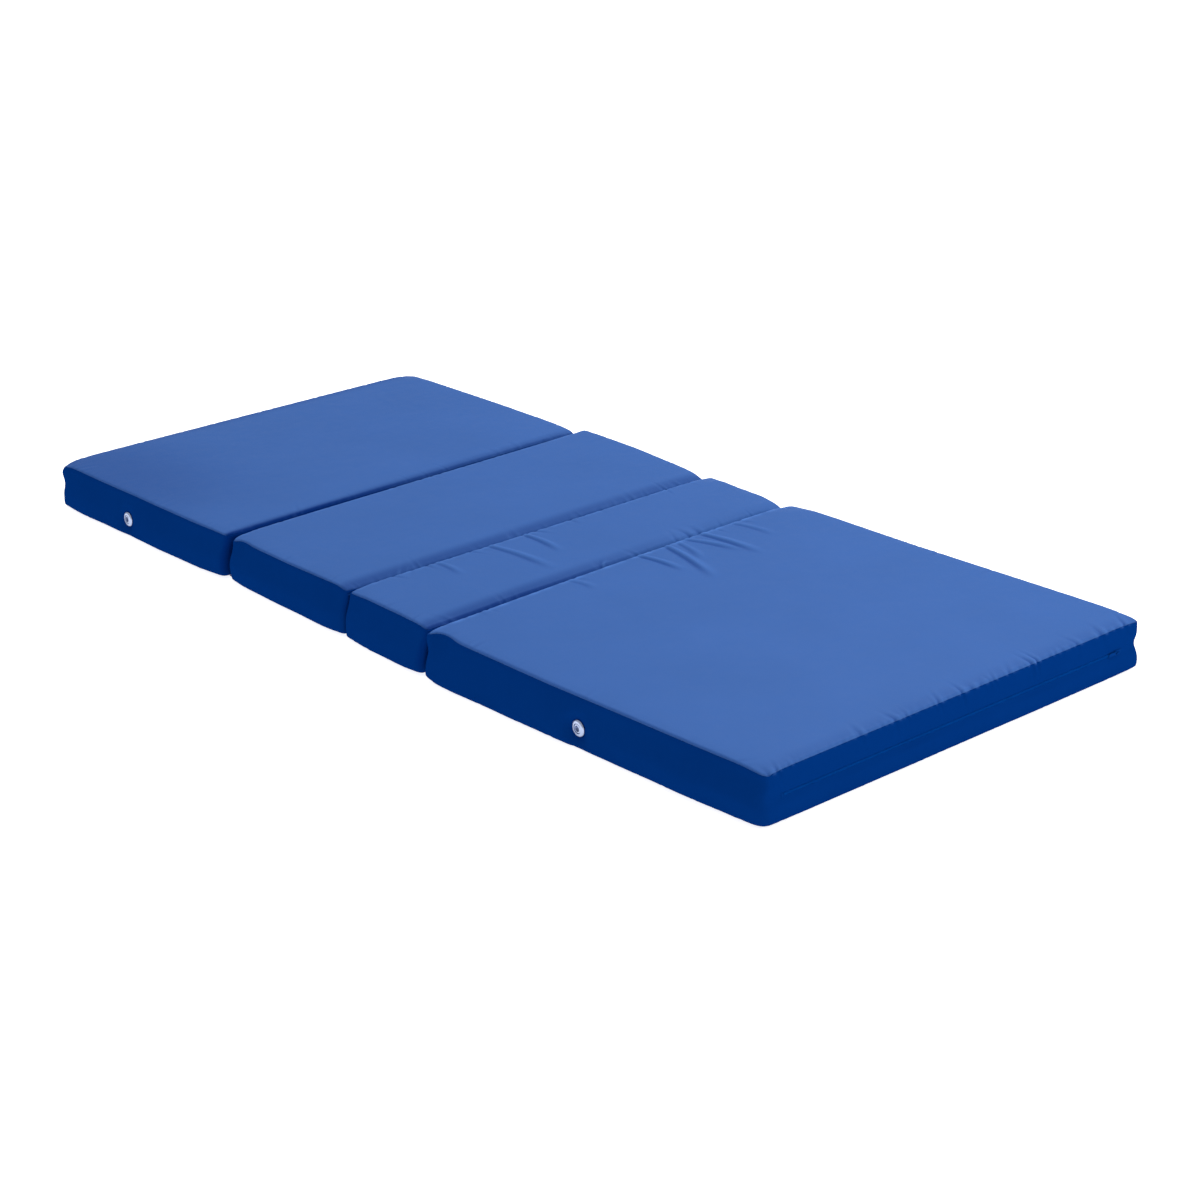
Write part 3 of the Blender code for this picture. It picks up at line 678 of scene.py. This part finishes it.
def evened(mesh, field, rounds):
    """A field on a mesh's points, averaged with their neighbours a number of times."""
    ends = np.zeros(len(mesh.edges) * 2, np.int32)
    mesh.edges.foreach_get("vertices", ends)
    a, b = ends.reshape(-1, 2).T
    count = np.bincount(ends, minlength=len(field)).astype(float)
    size = len(field)
    for _ in range(rounds):
        sums = [np.bincount(a, field[b, k], size) + np.bincount(b, field[a, k], size) for k in range(3)]
        total = np.stack(sums, 1)
        field = (field + total / count[:, None]) / 2
    return field


def settle(obj, number):
    """Lets the cover find its rest over the foam, by cloth simulation: seams a little short, panels full."""
    mesh = obj.data
    rest = coordinates(mesh)
    seam = value_of(mesh, "seam")
    hold = obj.vertex_groups.new(name="hold")
    short = obj.vertex_groups.new(name="short")
    hold.add(range(len(rest)), FIRM, "REPLACE")
    short.add([int(i) for i in np.nonzero(seam > 0.5)[0]], 1.0, "REPLACE")
    cloth = obj.modifiers.new("cloth", "CLOTH")
    facts = cloth.settings
    facts.quality = 4
    facts.mass = 0.25
    facts.tension_stiffness = facts.compression_stiffness = 12.0
    facts.shear_stiffness = 4.0
    facts.bending_stiffness = 0.08
    facts.vertex_group_mass = "hold"
    facts.pin_stiffness = 1.0
    facts.vertex_group_shrink = "short"
    facts.shrink_min = -0.012
    facts.shrink_max = 0.05
    facts.use_pressure = True
    facts.uniform_pressure_force = 4.0
    facts.effector_weights.gravity = 0.0
    cloth.collision_settings.use_collision = False
    cloth.collision_settings.use_self_collision = False
    cloth.point_cache.frame_start = 1
    cloth.point_cache.frame_end = SETTLE_FRAMES
    scene = bpy.context.scene
    for step in range(1, SETTLE_FRAMES + 1):
        scene.frame_set(step)
    depsgraph = bpy.context.evaluated_depsgraph_get()
    settled = obj.evaluated_get(depsgraph)
    moved = coordinates(settled.data)
    obj.modifiers.clear()
    obj.vertex_groups.clear()
    scene.frame_set(1)
    step = evened(mesh, moved - rest, SETTLE_SMOOTHING)
    size = np.linalg.norm(step, axis=1, keepdims=True)
    step *= np.minimum(1, SETTLE_CAP / np.maximum(size, 1e-9))
    on_band = (rest[:, 2] > BOTTOM_ROUND / 2) & (rest[:, 2] < TOP - TOP_DROP / 2)
    step *= np.where(on_band, BAND_SHARE, 1.0)[:, None]
    mesh.vertices.foreach_set("co", (rest + step).astype(np.float32).ravel())
    mesh.update()


# ---- materials ----
class Shader:
    """A node material with its Principled shader, and helpers to wire textures into it."""

    def __init__(self, name, **sockets):
        self.material = bpy.data.materials.new(name)
        self.material.use_nodes = True
        self.tree = self.material.node_tree
        self.shader = self.tree.nodes["Principled BSDF"]
        for socket, value in sockets.items():
            self.shader.inputs[socket.replace("_", " ")].default_value = value

    def node(self, kind, inputs=None, **settings):
        node = self.tree.nodes.new(kind)
        for key, value in settings.items():
            setattr(node, key, value)
        for key, value in (inputs or {}).items():
            if isinstance(value, bpy.types.NodeSocket):
                self.tree.links.new(value, node.inputs[key])
            else:
                node.inputs[key].default_value = value
        return node

    def math(self, operation, a, b=0.0):
        return self.node("ShaderNodeMath", {0: a, 1: b}, operation=operation).outputs[0]

    def mix(self, share, a, b):
        return self.node("ShaderNodeMix", {0: share, 6: a, 7: b}, data_type="RGBA").outputs[2]

    def noise(self, vector, scale, detail=2.0, roughness=0.5):
        inputs = {"Vector": vector, "Scale": scale, "Detail": detail, "Roughness": roughness}
        return self.node("ShaderNodeTexNoise", inputs).outputs["Fac"]

    def ramp(self, value, low, high, to_low, to_high):
        inputs = {"Value": value, 1: low, 2: high, 3: to_low, 4: to_high}
        return self.node("ShaderNodeMapRange", inputs).outputs[0]

    def put(self, socket, value):
        self.tree.links.new(value, self.shader.inputs[socket])

    def bump(self, height, distance, strength=1.0, under=None):
        inputs = {"Height": height, "Distance": distance, "Strength": strength}
        if under is not None:
            inputs["Normal"] = under
        return self.node("ShaderNodeBump", inputs).outputs["Normal"]


# colours of painted shade and painted highlight, which the fabric mixes in by the mesh's fold value
PAINTED_SHADE_COLOUR = (0.0002, 0.02, 0.14, 1.0)
PAINTED_HIGHLIGHT_COLOUR = (0.06, 0.156, 0.44, 1.0)


def fabric(name, dark, light, roughness, specular, weave=0.00062):
    """A tight plain-woven coated fabric, mapped in metres: warp and weft, slubs, faint rubbed patches."""
    made = Shader(name, Roughness=roughness, Specular_IOR_Level=specular)
    place = made.node("ShaderNodeUVMap", uv_map="weave").outputs["UV"]
    split = made.node("ShaderNodeSeparateXYZ", {0: place})
    # warp and weft: two sines a half turn apart, so that each thread goes over and under
    turn = 2 * pi / weave
    warp = made.math("SINE", made.math("MULTIPLY", split.outputs["X"], turn))
    weft = made.math("SINE", made.math("MULTIPLY", split.outputs["Y"], turn))
    threads = made.math("ADD", made.math("MULTIPLY", warp, weft), made.math("MULTIPLY", warp, 0.35))
    broad = made.noise(place, 5.0, 3.0)
    patch = made.noise(place, 38.0, 4.0, 0.6)
    stretched = made.node("ShaderNodeMapping", {"Vector": place, "Scale": (240.0, 14.0, 1.0)}).outputs[0]
    slub = made.noise(stretched, 1.0, 3.0)
    stretched = made.node("ShaderNodeMapping", {"Vector": place, "Scale": (14.0, 260.0, 1.0)}).outputs[0]
    slub_across = made.noise(stretched, 1.0, 3.0)
    tone = made.math("ADD", made.math("MULTIPLY", broad, 0.55), made.math("MULTIPLY", patch, 0.2))
    tone = made.math("ADD", tone, made.math("MULTIPLY", made.math("ADD", slub, slub_across), 0.07))
    colour = made.mix(made.ramp(tone, 0.22, 0.72, 0.0, 1.0), dark, light)
    # painted shade and highlight from the mesh: over 0 the colour goes towards the painted shade colour, in
    # folds, creases, slopes and edges; under 0 towards the painted highlight colour, along the edges beside a
    # joint and on crease ridges
    fold = made.node("ShaderNodeAttribute", attribute_name="fold").outputs["Fac"]
    colour = made.mix(made.ramp(fold, 0.0, 1.0, 0.0, 1.0), colour, PAINTED_SHADE_COLOUR)
    made.put("Base Color", made.mix(made.ramp(fold, 0.0, -1.0, 0.0, 1.0), colour, PAINTED_HIGHLIGHT_COLOUR))
    made.put("Roughness", made.ramp(patch, 0.3, 0.7, roughness - 0.05, roughness + 0.06))
    crumple = made.noise(place, 70.0, 3.0, 0.5)
    under = made.bump(crumple, 0.0003, 0.2)
    under = made.bump(made.math("ADD", slub, slub_across), 0.00004, 0.2, under)
    made.put("Normal", made.bump(threads, weave * 0.035, 0.6, under))
    return made.material


def rgb(*colour):
    return (*colour, 1.0)


# one fabric in several brightnesses: the band's darker colour is painted shade of the sides, and the top's
# paler, redder colour holds a painted sheen; the base is darker than the band
TOP_FABRIC_PAINTED_SHEEN = fabric("cover_top", rgb(0.0336, 0.094, 0.286), rgb(0.0378, 0.104, 0.318), 0.46, 0.012)
BAND_FABRIC_PAINTED_SHADE = fabric("cover_band", rgb(0.0003, 0.024, 0.145), rgb(0.0005, 0.028, 0.165), 0.6, 0.0)
BASE_FABRIC = fabric("cover_base", rgb(0.0002, 0.017, 0.105), rgb(0.0003, 0.021, 0.125), 0.6, 0.01)
# the hinge strip's dark colour is painted shade of the crease it lies in
HINGE_FABRIC = fabric("hinge_fabric", rgb(0.0002, 0.02, 0.122), rgb(0.0003, 0.0235, 0.14), 0.58, 0.02)


# ---- covers ----
def link(obj):
    bpy.context.scene.collection.objects.link(obj)
    return obj


def make_cover(number):
    obj = link(bpy.data.objects.new(f"section_{number}_cover", cushion_mesh(number)))
    settle(obj, number)
    subdivide(obj)
    sculpt(obj, number)
    obj.data.shade_smooth()
    for material in (TOP_FABRIC_PAINTED_SHEEN, BAND_FABRIC_PAINTED_SHADE, BASE_FABRIC):
        obj.data.materials.append(material)
    parts = ("foam_core", "top_sheet", "side_band", "bottom_sheet")
    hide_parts(*(f"section_{number}_{p}" for p in parts))
    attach(obj, f"section_{number}")
    return obj


covers = {number: make_cover(number) for number in SECTIONS}


# ---- fabric hinges ----
STRIP_THICK = 0.001
STRIP_STEP = 0.008
# strips at the top and at the bottom: what they leave free at each end, how far they are tucked in, the
# heights of their left and right edge, and how far they dip in between
STRIP_FORMS = {
    "top": (0.012, 0.003, TOP - 0.0128, TOP - 0.0084, 0.002),
    "bottom": (0.02, 0.0085, 0.0009, 0.0009, -0.0022),
}


def face_outwards(mesh):
    bm = bmesh.new()
    bm.from_mesh(mesh)
    bmesh.ops.recalc_face_normals(bm, faces=bm.faces)
    bm.to_mesh(mesh)
    bm.free()
    mesh.shade_smooth()


def shell(name, lines, thickness):
    """A closed thin sheet: lines are rows of points, thickened to both sides of their surface."""
    rows, columns = len(lines), len(lines[0])
    grid = np.array(lines, float)
    along = np.gradient(grid, axis=0)
    across = np.gradient(grid, axis=1)
    normal = np.cross(across, along)
    normal /= np.linalg.norm(normal, axis=2, keepdims=True)
    outer = (grid + normal * thickness / 2).reshape(-1, 3)
    inner = (grid - normal * thickness / 2).reshape(-1, 3)
    count = rows * columns
    faces = []
    for r in range(rows - 1):
        for c in range(columns - 1):
            here, below = r * columns + c, (r + 1) * columns + c
            quad = [here, here + 1, below + 1, below]
            faces.append(quad)
            faces.append([v + count for v in reversed(quad)])
    edge = [(0, c) for c in range(columns)] + [(r, columns - 1) for r in range(1, rows)]
    edge += [(rows - 1, c) for c in range(columns - 2, -1, -1)] + [(r, 0) for r in range(rows - 2, 0, -1)]
    ring = [r * columns + c for r, c in edge]
    for a, b in zip(ring, ring[1:] + ring[:1]):
        faces.append([b, a, a + count, b + count])
    mesh = bpy.data.meshes.new(name)
    mesh.from_pydata(np.concatenate([outer, inner]).tolist(), [], faces)
    down = np.concatenate([[0], np.cumsum(np.linalg.norm(np.diff(grid[:, columns // 2], axis=0), axis=1))])
    over = np.concatenate([[0], np.cumsum(np.linalg.norm(np.diff(grid[rows // 2], axis=0), axis=1))])
    uv_of = [(over[c], down[r]) for r in range(rows) for c in range(columns)] * 2
    layer = mesh.uv_layers.new(name="weave")
    for loop in mesh.loops:
        layer.data[loop.index].uv = uv_of[loop.vertex_index]
    mesh.update()
    face_outwards(mesh)
    return mesh


def make_hinge(index):
    """The strip of fabric across one joint, slack enough to bend, sewn to both sections."""
    pair = f"{index}{index + 1}"
    place = JOINTS[f"fold_{pair}"]
    x_left, x_right = BAND_BOX[index][1].x, BAND_BOX[index + 1][0].x
    rng = np.random.default_rng(70 + index)
    end, tuck, level_left, level_right, dip = STRIP_FORMS["top" if place.z > TOP else "bottom"]
    count = round((2 * HALF_WIDTH - 2 * end) / STRIP_STEP)
    ys = np.linspace(-HALF_WIDTH + end, HALF_WIDTH - end, count + 1)
    shares = np.linspace(0, 1, 17)
    x_from, x_to = x_left - tuck, x_right + tuck
    slack = waves(ys, ys * 0, rng, 6, 0.03, 0.1)
    lines = []
    for y, loose in zip(ys, slack):
        row = []
        for t in shares:
            x = x_from + (x_to - x_from) * t
            inside = np.clip((x - x_left) / (x_right - x_left), 0, 1)
            sag = sin(pi * inside) ** 1.2
            z = level_left + (level_right - level_left) * t - dip * sag * (1 + 0.22 * loose)
            row.append((x - joint_shift(index, y) * lean_share(z), y, z))
        lines.append(row)
    obj = link(bpy.data.objects.new(f"hinge_{pair}", shell("hinge", lines, STRIP_THICK)))
    obj.data.materials.append(HINGE_FABRIC)
    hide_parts(f"hinge_strip_{pair}")
    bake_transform(obj)
    return obj


hinges = [make_hinge(index) for index in (1, 2, 3)]


# ---- zips ----
TOOTH_PITCH = 0.00135
TOOTH_HALF = 0.00031
TOOTH_DEEP = 0.00062
TOOTH_SIDES = 6
TOOTH_SUNK = 0.00022
# a tooth's rings: height from the zip's middle line, and share of the full girth
TOOTH_RINGS = ((-0.00105, 0.55), (-0.00075, 1.0), (0.0006, 1.0), (0.0021, 0.92), (0.0027, 0.55))


def wall_frame(number):
    """A zip's middle, and its directions: along it, up and out of the wall."""
    low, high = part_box(f"zip_{number}_coil")
    middle = (low + high) / 2
    wall = ZIP_WALL[number]
    out = Vector({"left": (-1, 0, 0), "right": (1, 0, 0), "far": (0, 1, 0)}[wall])
    along = out.cross(Vector((0, 0, 1)))
    size = high - low
    face = BAND_BOX[number][1].x if wall == "right" else BAND_BOX[number][0].x
    middle = Vector((face, middle.y, middle.z)) if wall != "far" else Vector((middle.x, HALF_WIDTH, middle.z))
    return middle, along, out, max(size.x, size.y)


def make_teeth(number):
    """The coil as two combed rows of small loops that reach past each other."""
    middle, along, out, length = wall_frame(number)
    up = Vector((0, 0, 1))
    count = int(length / TOOTH_PITCH)
    angles = [2 * pi * k / TOOTH_SIDES for k in range(TOOTH_SIDES)]
    verts, faces = [], []
    for row in (1, -1):
        for k in range(count):
            centre = (k + (0.25 if row > 0 else 0.75)) * TOOTH_PITCH - count * TOOTH_PITCH / 2
            start = len(verts)
            for height, girth in TOOTH_RINGS:
                for a in angles:
                    spot = along * (centre + TOOTH_HALF * girth * cos(a))
                    spot = spot + out * (-TOOTH_SUNK + TOOTH_DEEP * girth * sin(a)) + up * (height * row)
                    verts.append(middle + spot)
            n = TOOTH_SIDES
            for r in range(len(TOOTH_RINGS) - 1):
                for c in range(n):
                    a, b = start + r * n + c, start + r * n + (c + 1) % n
                    faces.append((a, b, b + n, a + n) if row > 0 else (a, a + n, b + n, b))
            first, last = list(range(start, start + n)), list(range(len(verts) - n, len(verts)))
            faces.append(first[::-1] if row > 0 else first)
            faces.append(last if row > 0 else last[::-1])
    mesh = bpy.data.meshes.new(f"zip_{number}_teeth")
    mesh.from_pydata([tuple(v) for v in verts], [], faces)
    face_outwards(mesh)
    obj = link(bpy.data.objects.new(f"zip_{number}_teeth", mesh))
    obj.data.materials.append(NYLON)
    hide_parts(f"zip_{number}_coil")
    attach(obj, f"section_{number}")


def plain(name, low, high, roughness, metallic=0.0, specular=0.5, grain=900.0):
    """A solid finish mapped by place: slight colour variation, fine grain and rubbed spots."""
    made = Shader(name, Roughness=roughness, Metallic=metallic, Specular_IOR_Level=specular)
    place = made.node("ShaderNodeTexCoord").outputs["Object"]
    cloud = made.noise(place, 60.0, 3.0)
    fine = made.noise(place, grain, 3.0, 0.6)
    rubbed = made.ramp(made.noise(place, 260.0, 4.0, 0.65), 0.52, 0.66, 0.0, 1.0)
    made.put("Base Color", made.mix(made.ramp(cloud, 0.3, 0.7, 0.0, 1.0), low, high))
    worn = made.math("MULTIPLY", rubbed, 0.1)
    even = made.ramp(fine, 0.3, 0.7, roughness - 0.04, roughness + 0.04)
    made.put("Roughness", made.math("ADD", even, worn))
    made.put("Normal", made.bump(fine, 0.00004, 0.6))
    return made.material


def tape_fabric():
    """Narrow woven tape, mapped along the wall it lies on."""
    made = Shader("zip_tape", Roughness=0.7, Specular_IOR_Level=0.005)
    place = made.node("ShaderNodeTexCoord").outputs["Object"]
    split = made.node("ShaderNodeSeparateXYZ", {0: place})
    along = made.math("ADD", split.outputs["X"], split.outputs["Y"])
    upward = split.outputs["Z"]
    slant = made.math("ADD", made.math("MULTIPLY", along, 7400.0), made.math("MULTIPLY", upward, 7400.0))
    twill = made.math("SINE", slant)
    cords = made.math("SINE", made.math("MULTIPLY", upward, 9000.0))
    tones = rgb(0.0002, 0.019, 0.115), rgb(0.0003, 0.023, 0.135)
    made.put("Base Color", made.mix(made.noise(place, 300.0), *tones))
    made.put("Normal", made.bump(made.math("ADD", twill, cords), 0.00012, 0.6))
    return made.material


# the coil is lighter than the band: painted light that evens out the shade in the zip's recess
NYLON = plain("zip_coil", rgb(0.0004, 0.044, 0.235), rgb(0.0006, 0.05, 0.262), 0.6, specular=0, grain=2500)
ENAMEL = plain("zip_enamel", rgb(0.0002, 0.027, 0.158), rgb(0.0003, 0.031, 0.175), 0.5, specular=0.002)
NICKEL = plain("nickel", rgb(0.34, 0.4, 0.56), rgb(0.4, 0.46, 0.63), 0.28, metallic=1.0, grain=1400.0)
TAPE = tape_fabric()


def dress(node, material, edge=0.0):
    """A CAD node as it is, with a finished material, and with its hard edges eased."""
    obj = frame["nodes"][node]
    obj.data.materials.clear()
    obj.data.materials.append(material)
    if edge:
        weld = obj.modifiers.new("weld", "WELD")
        weld.merge_threshold = 0.00002
        bevel = obj.modifiers.new("edges", "BEVEL")
        bevel.width = edge
        bevel.segments = 2
        bevel.limit_method = "ANGLE"
        bevel.angle_limit = radians(35)
        bevel.harden_normals = True


for number in SECTIONS:
    make_teeth(number)
    dress(f"zip_{number}_tape", TAPE)
    dress(f"zip_{number}_closed_stop", ENAMEL)
    dress(f"zip_{number}_open_stop", ENAMEL)
    dress(f"zip_{number}_slider", ENAMEL, 0.00022)
    dress(f"zip_{number}_pull", ENAMEL, 0.00018)
for number in VENTS:
    dress(f"ventilator_{number}_washer", NICKEL)
    dress(f"ventilator_{number}_screen", NICKEL)


# ---- ventilators ----
def make_flange(number):
    """A pressed eyelet: a domed rim that rolls into its bore, with a fine step near its outer edge."""
    low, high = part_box(f"ventilator_{number}_flange")
    centre = Vector(((low.x + high.x) / 2, -HALF_WIDTH, (low.z + high.z) / 2))
    radius, proud, deep = (high.x - low.x) / 2, -HALF_WIDTH - low.y, high.y + HALF_WIDTH
    bore, barrel = 0.005, 0.0057
    crest = 0.6 * radius
    profile = [(radius - 0.0002, -0.0003), (radius, -0.0005)]
    for d in range(10, 91, 8):
        a = radians(d)
        step = 0.00016 * np.exp(-(((d - 26) / 7) ** 2))
        profile.append((crest + (radius - crest) * cos(a), -0.0005 - (proud - 0.0005) * sin(a) + step))
    for d in range(80, -1, -10):
        a = radians(d)
        profile.append((bore + (crest - bore) * sin(a), -0.001 - (proud - 0.001) * cos(a)))
    profile += [(bore, 0.0), (bore, deep), (barrel, deep), (barrel, -0.0003)]
    bm = bmesh.new()
    verts = [bm.verts.new(centre + Vector((r, y, 0))) for r, y in profile]
    edges = [bm.edges.new(pair) for pair in zip(verts, verts[1:] + verts[:1])]
    turn = {"cent": centre, "axis": (0, 1, 0), "angle": 2 * pi, "steps": 96}
    bmesh.ops.spin(bm, geom=edges, use_merge=True, use_duplicate=False, **turn)
    bmesh.ops.remove_doubles(bm, verts=bm.verts, dist=1e-6)
    bmesh.ops.recalc_face_normals(bm, faces=bm.faces)
    mesh = bpy.data.meshes.new(f"ventilator_{number}_rim")
    bm.to_mesh(mesh)
    bm.free()
    mesh.shade_smooth()
    mesh.set_sharp_from_angle(angle=radians(50))
    obj = link(bpy.data.objects.new(f"ventilator_{number}_rim", mesh))
    obj.data.materials.append(NICKEL)
    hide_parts(f"ventilator_{number}_flange")
    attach(obj, f"section_{number}")


for number in VENTS:
    make_flange(number)


# ---- studio ----
def make_floor():
    bm = bmesh.new()
    bmesh.ops.create_grid(bm, x_segments=2, y_segments=2, size=30.0)
    mesh = bpy.data.meshes.new("floor")
    bm.to_mesh(mesh)
    bm.free()
    floor = link(bpy.data.objects.new("floor", mesh))
    floor.location.z = -0.0006
    made = Shader("floor", Roughness=0.9, Specular_IOR_Level=0.1)
    place = made.node("ShaderNodeTexCoord").outputs["Object"]
    cloud = made.noise(place, 0.6, 2.0)
    made.put("Base Color", made.mix(cloud, rgb(0.61, 0.61, 0.615), rgb(0.63, 0.63, 0.63)))
    made.shader.inputs["Emission Color"].default_value = (1.0, 1.0, 1.0, 1.0)
    made.shader.inputs["Emission Strength"].default_value = 0.85
    floor.data.materials.append(made.material)


def area_light(name, place, target, size, power, colour=(1, 1, 1)):
    data = bpy.data.lights.new(name, "AREA")
    data.shape = "RECTANGLE"
    data.size, data.size_y = size
    data.energy = power
    data.color = colour
    light = link(bpy.data.objects.new(name, data))
    light.location = place
    light.rotation_mode = "QUATERNION"
    light.rotation_quaternion = (Vector(target) - Vector(place)).to_track_quat("-Z", "Y")


def sun_light(name, toward, strength, spread):
    """A broad, even light from far away, from the direction given."""
    data = bpy.data.lights.new(name, "SUN")
    data.energy = strength
    data.angle = radians(spread)
    light = link(bpy.data.objects.new(name, data))
    light.rotation_mode = "QUATERNION"
    light.rotation_quaternion = (-Vector(toward)).to_track_quat("-Z", "Y")


def make_studio():
    make_floor()
    world = bpy.data.worlds.new("studio")
    world.use_nodes = True
    world.node_tree.nodes["Background"].inputs[0].default_value = (1.0, 1.0, 1.0, 1.0)
    world.node_tree.nodes["Background"].inputs[1].default_value = 0.6
    bpy.context.scene.world = world
    sun_light("overhead", (-0.34, 0.36, 1.0), 2.1, 55.0)
    area_light("key", (2.0, 0.7, 1.5), (0.9, 0, 0), (1.4, 1.4), 17.0)
    area_light("far fill", (-0.3, 1.3, 1.2), (-0.4, 0.2, 0), (1.6, 0.6), 7.0)
    bpy.context.scene.view_settings.view_transform = "Standard"
    bpy.context.scene.view_settings.look = "None"


CAMERA_AZIMUTH, CAMERA_ELEVATION, CAMERA_ROLL = 50.04, 21.67, -1.71
CAMERA_DISTANCE = 4.421
CAMERA_LENS = 76.7
CAMERA_TARGET = Vector((0.1424, -0.0023, 0.0))


def make_camera():
    azimuth, elevation = radians(CAMERA_AZIMUTH), radians(CAMERA_ELEVATION)
    back = Vector((sin(azimuth) * cos(elevation), -cos(azimuth) * cos(elevation), sin(elevation)))
    data = bpy.data.cameras.new("camera")
    data.lens = CAMERA_LENS
    data.sensor_width = 36.0
    data.clip_end = 100.0
    camera = link(bpy.data.objects.new("camera", data))
    camera.rotation_mode = "QUATERNION"
    facing = (-back).to_track_quat("-Z", "Y").to_matrix()
    camera.rotation_quaternion = (facing @ Matrix.Rotation(radians(CAMERA_ROLL), 3, "Z")).to_quaternion()
    camera.location = CAMERA_TARGET + back * CAMERA_DISTANCE
    bpy.context.scene.camera = camera


make_studio()
make_camera()
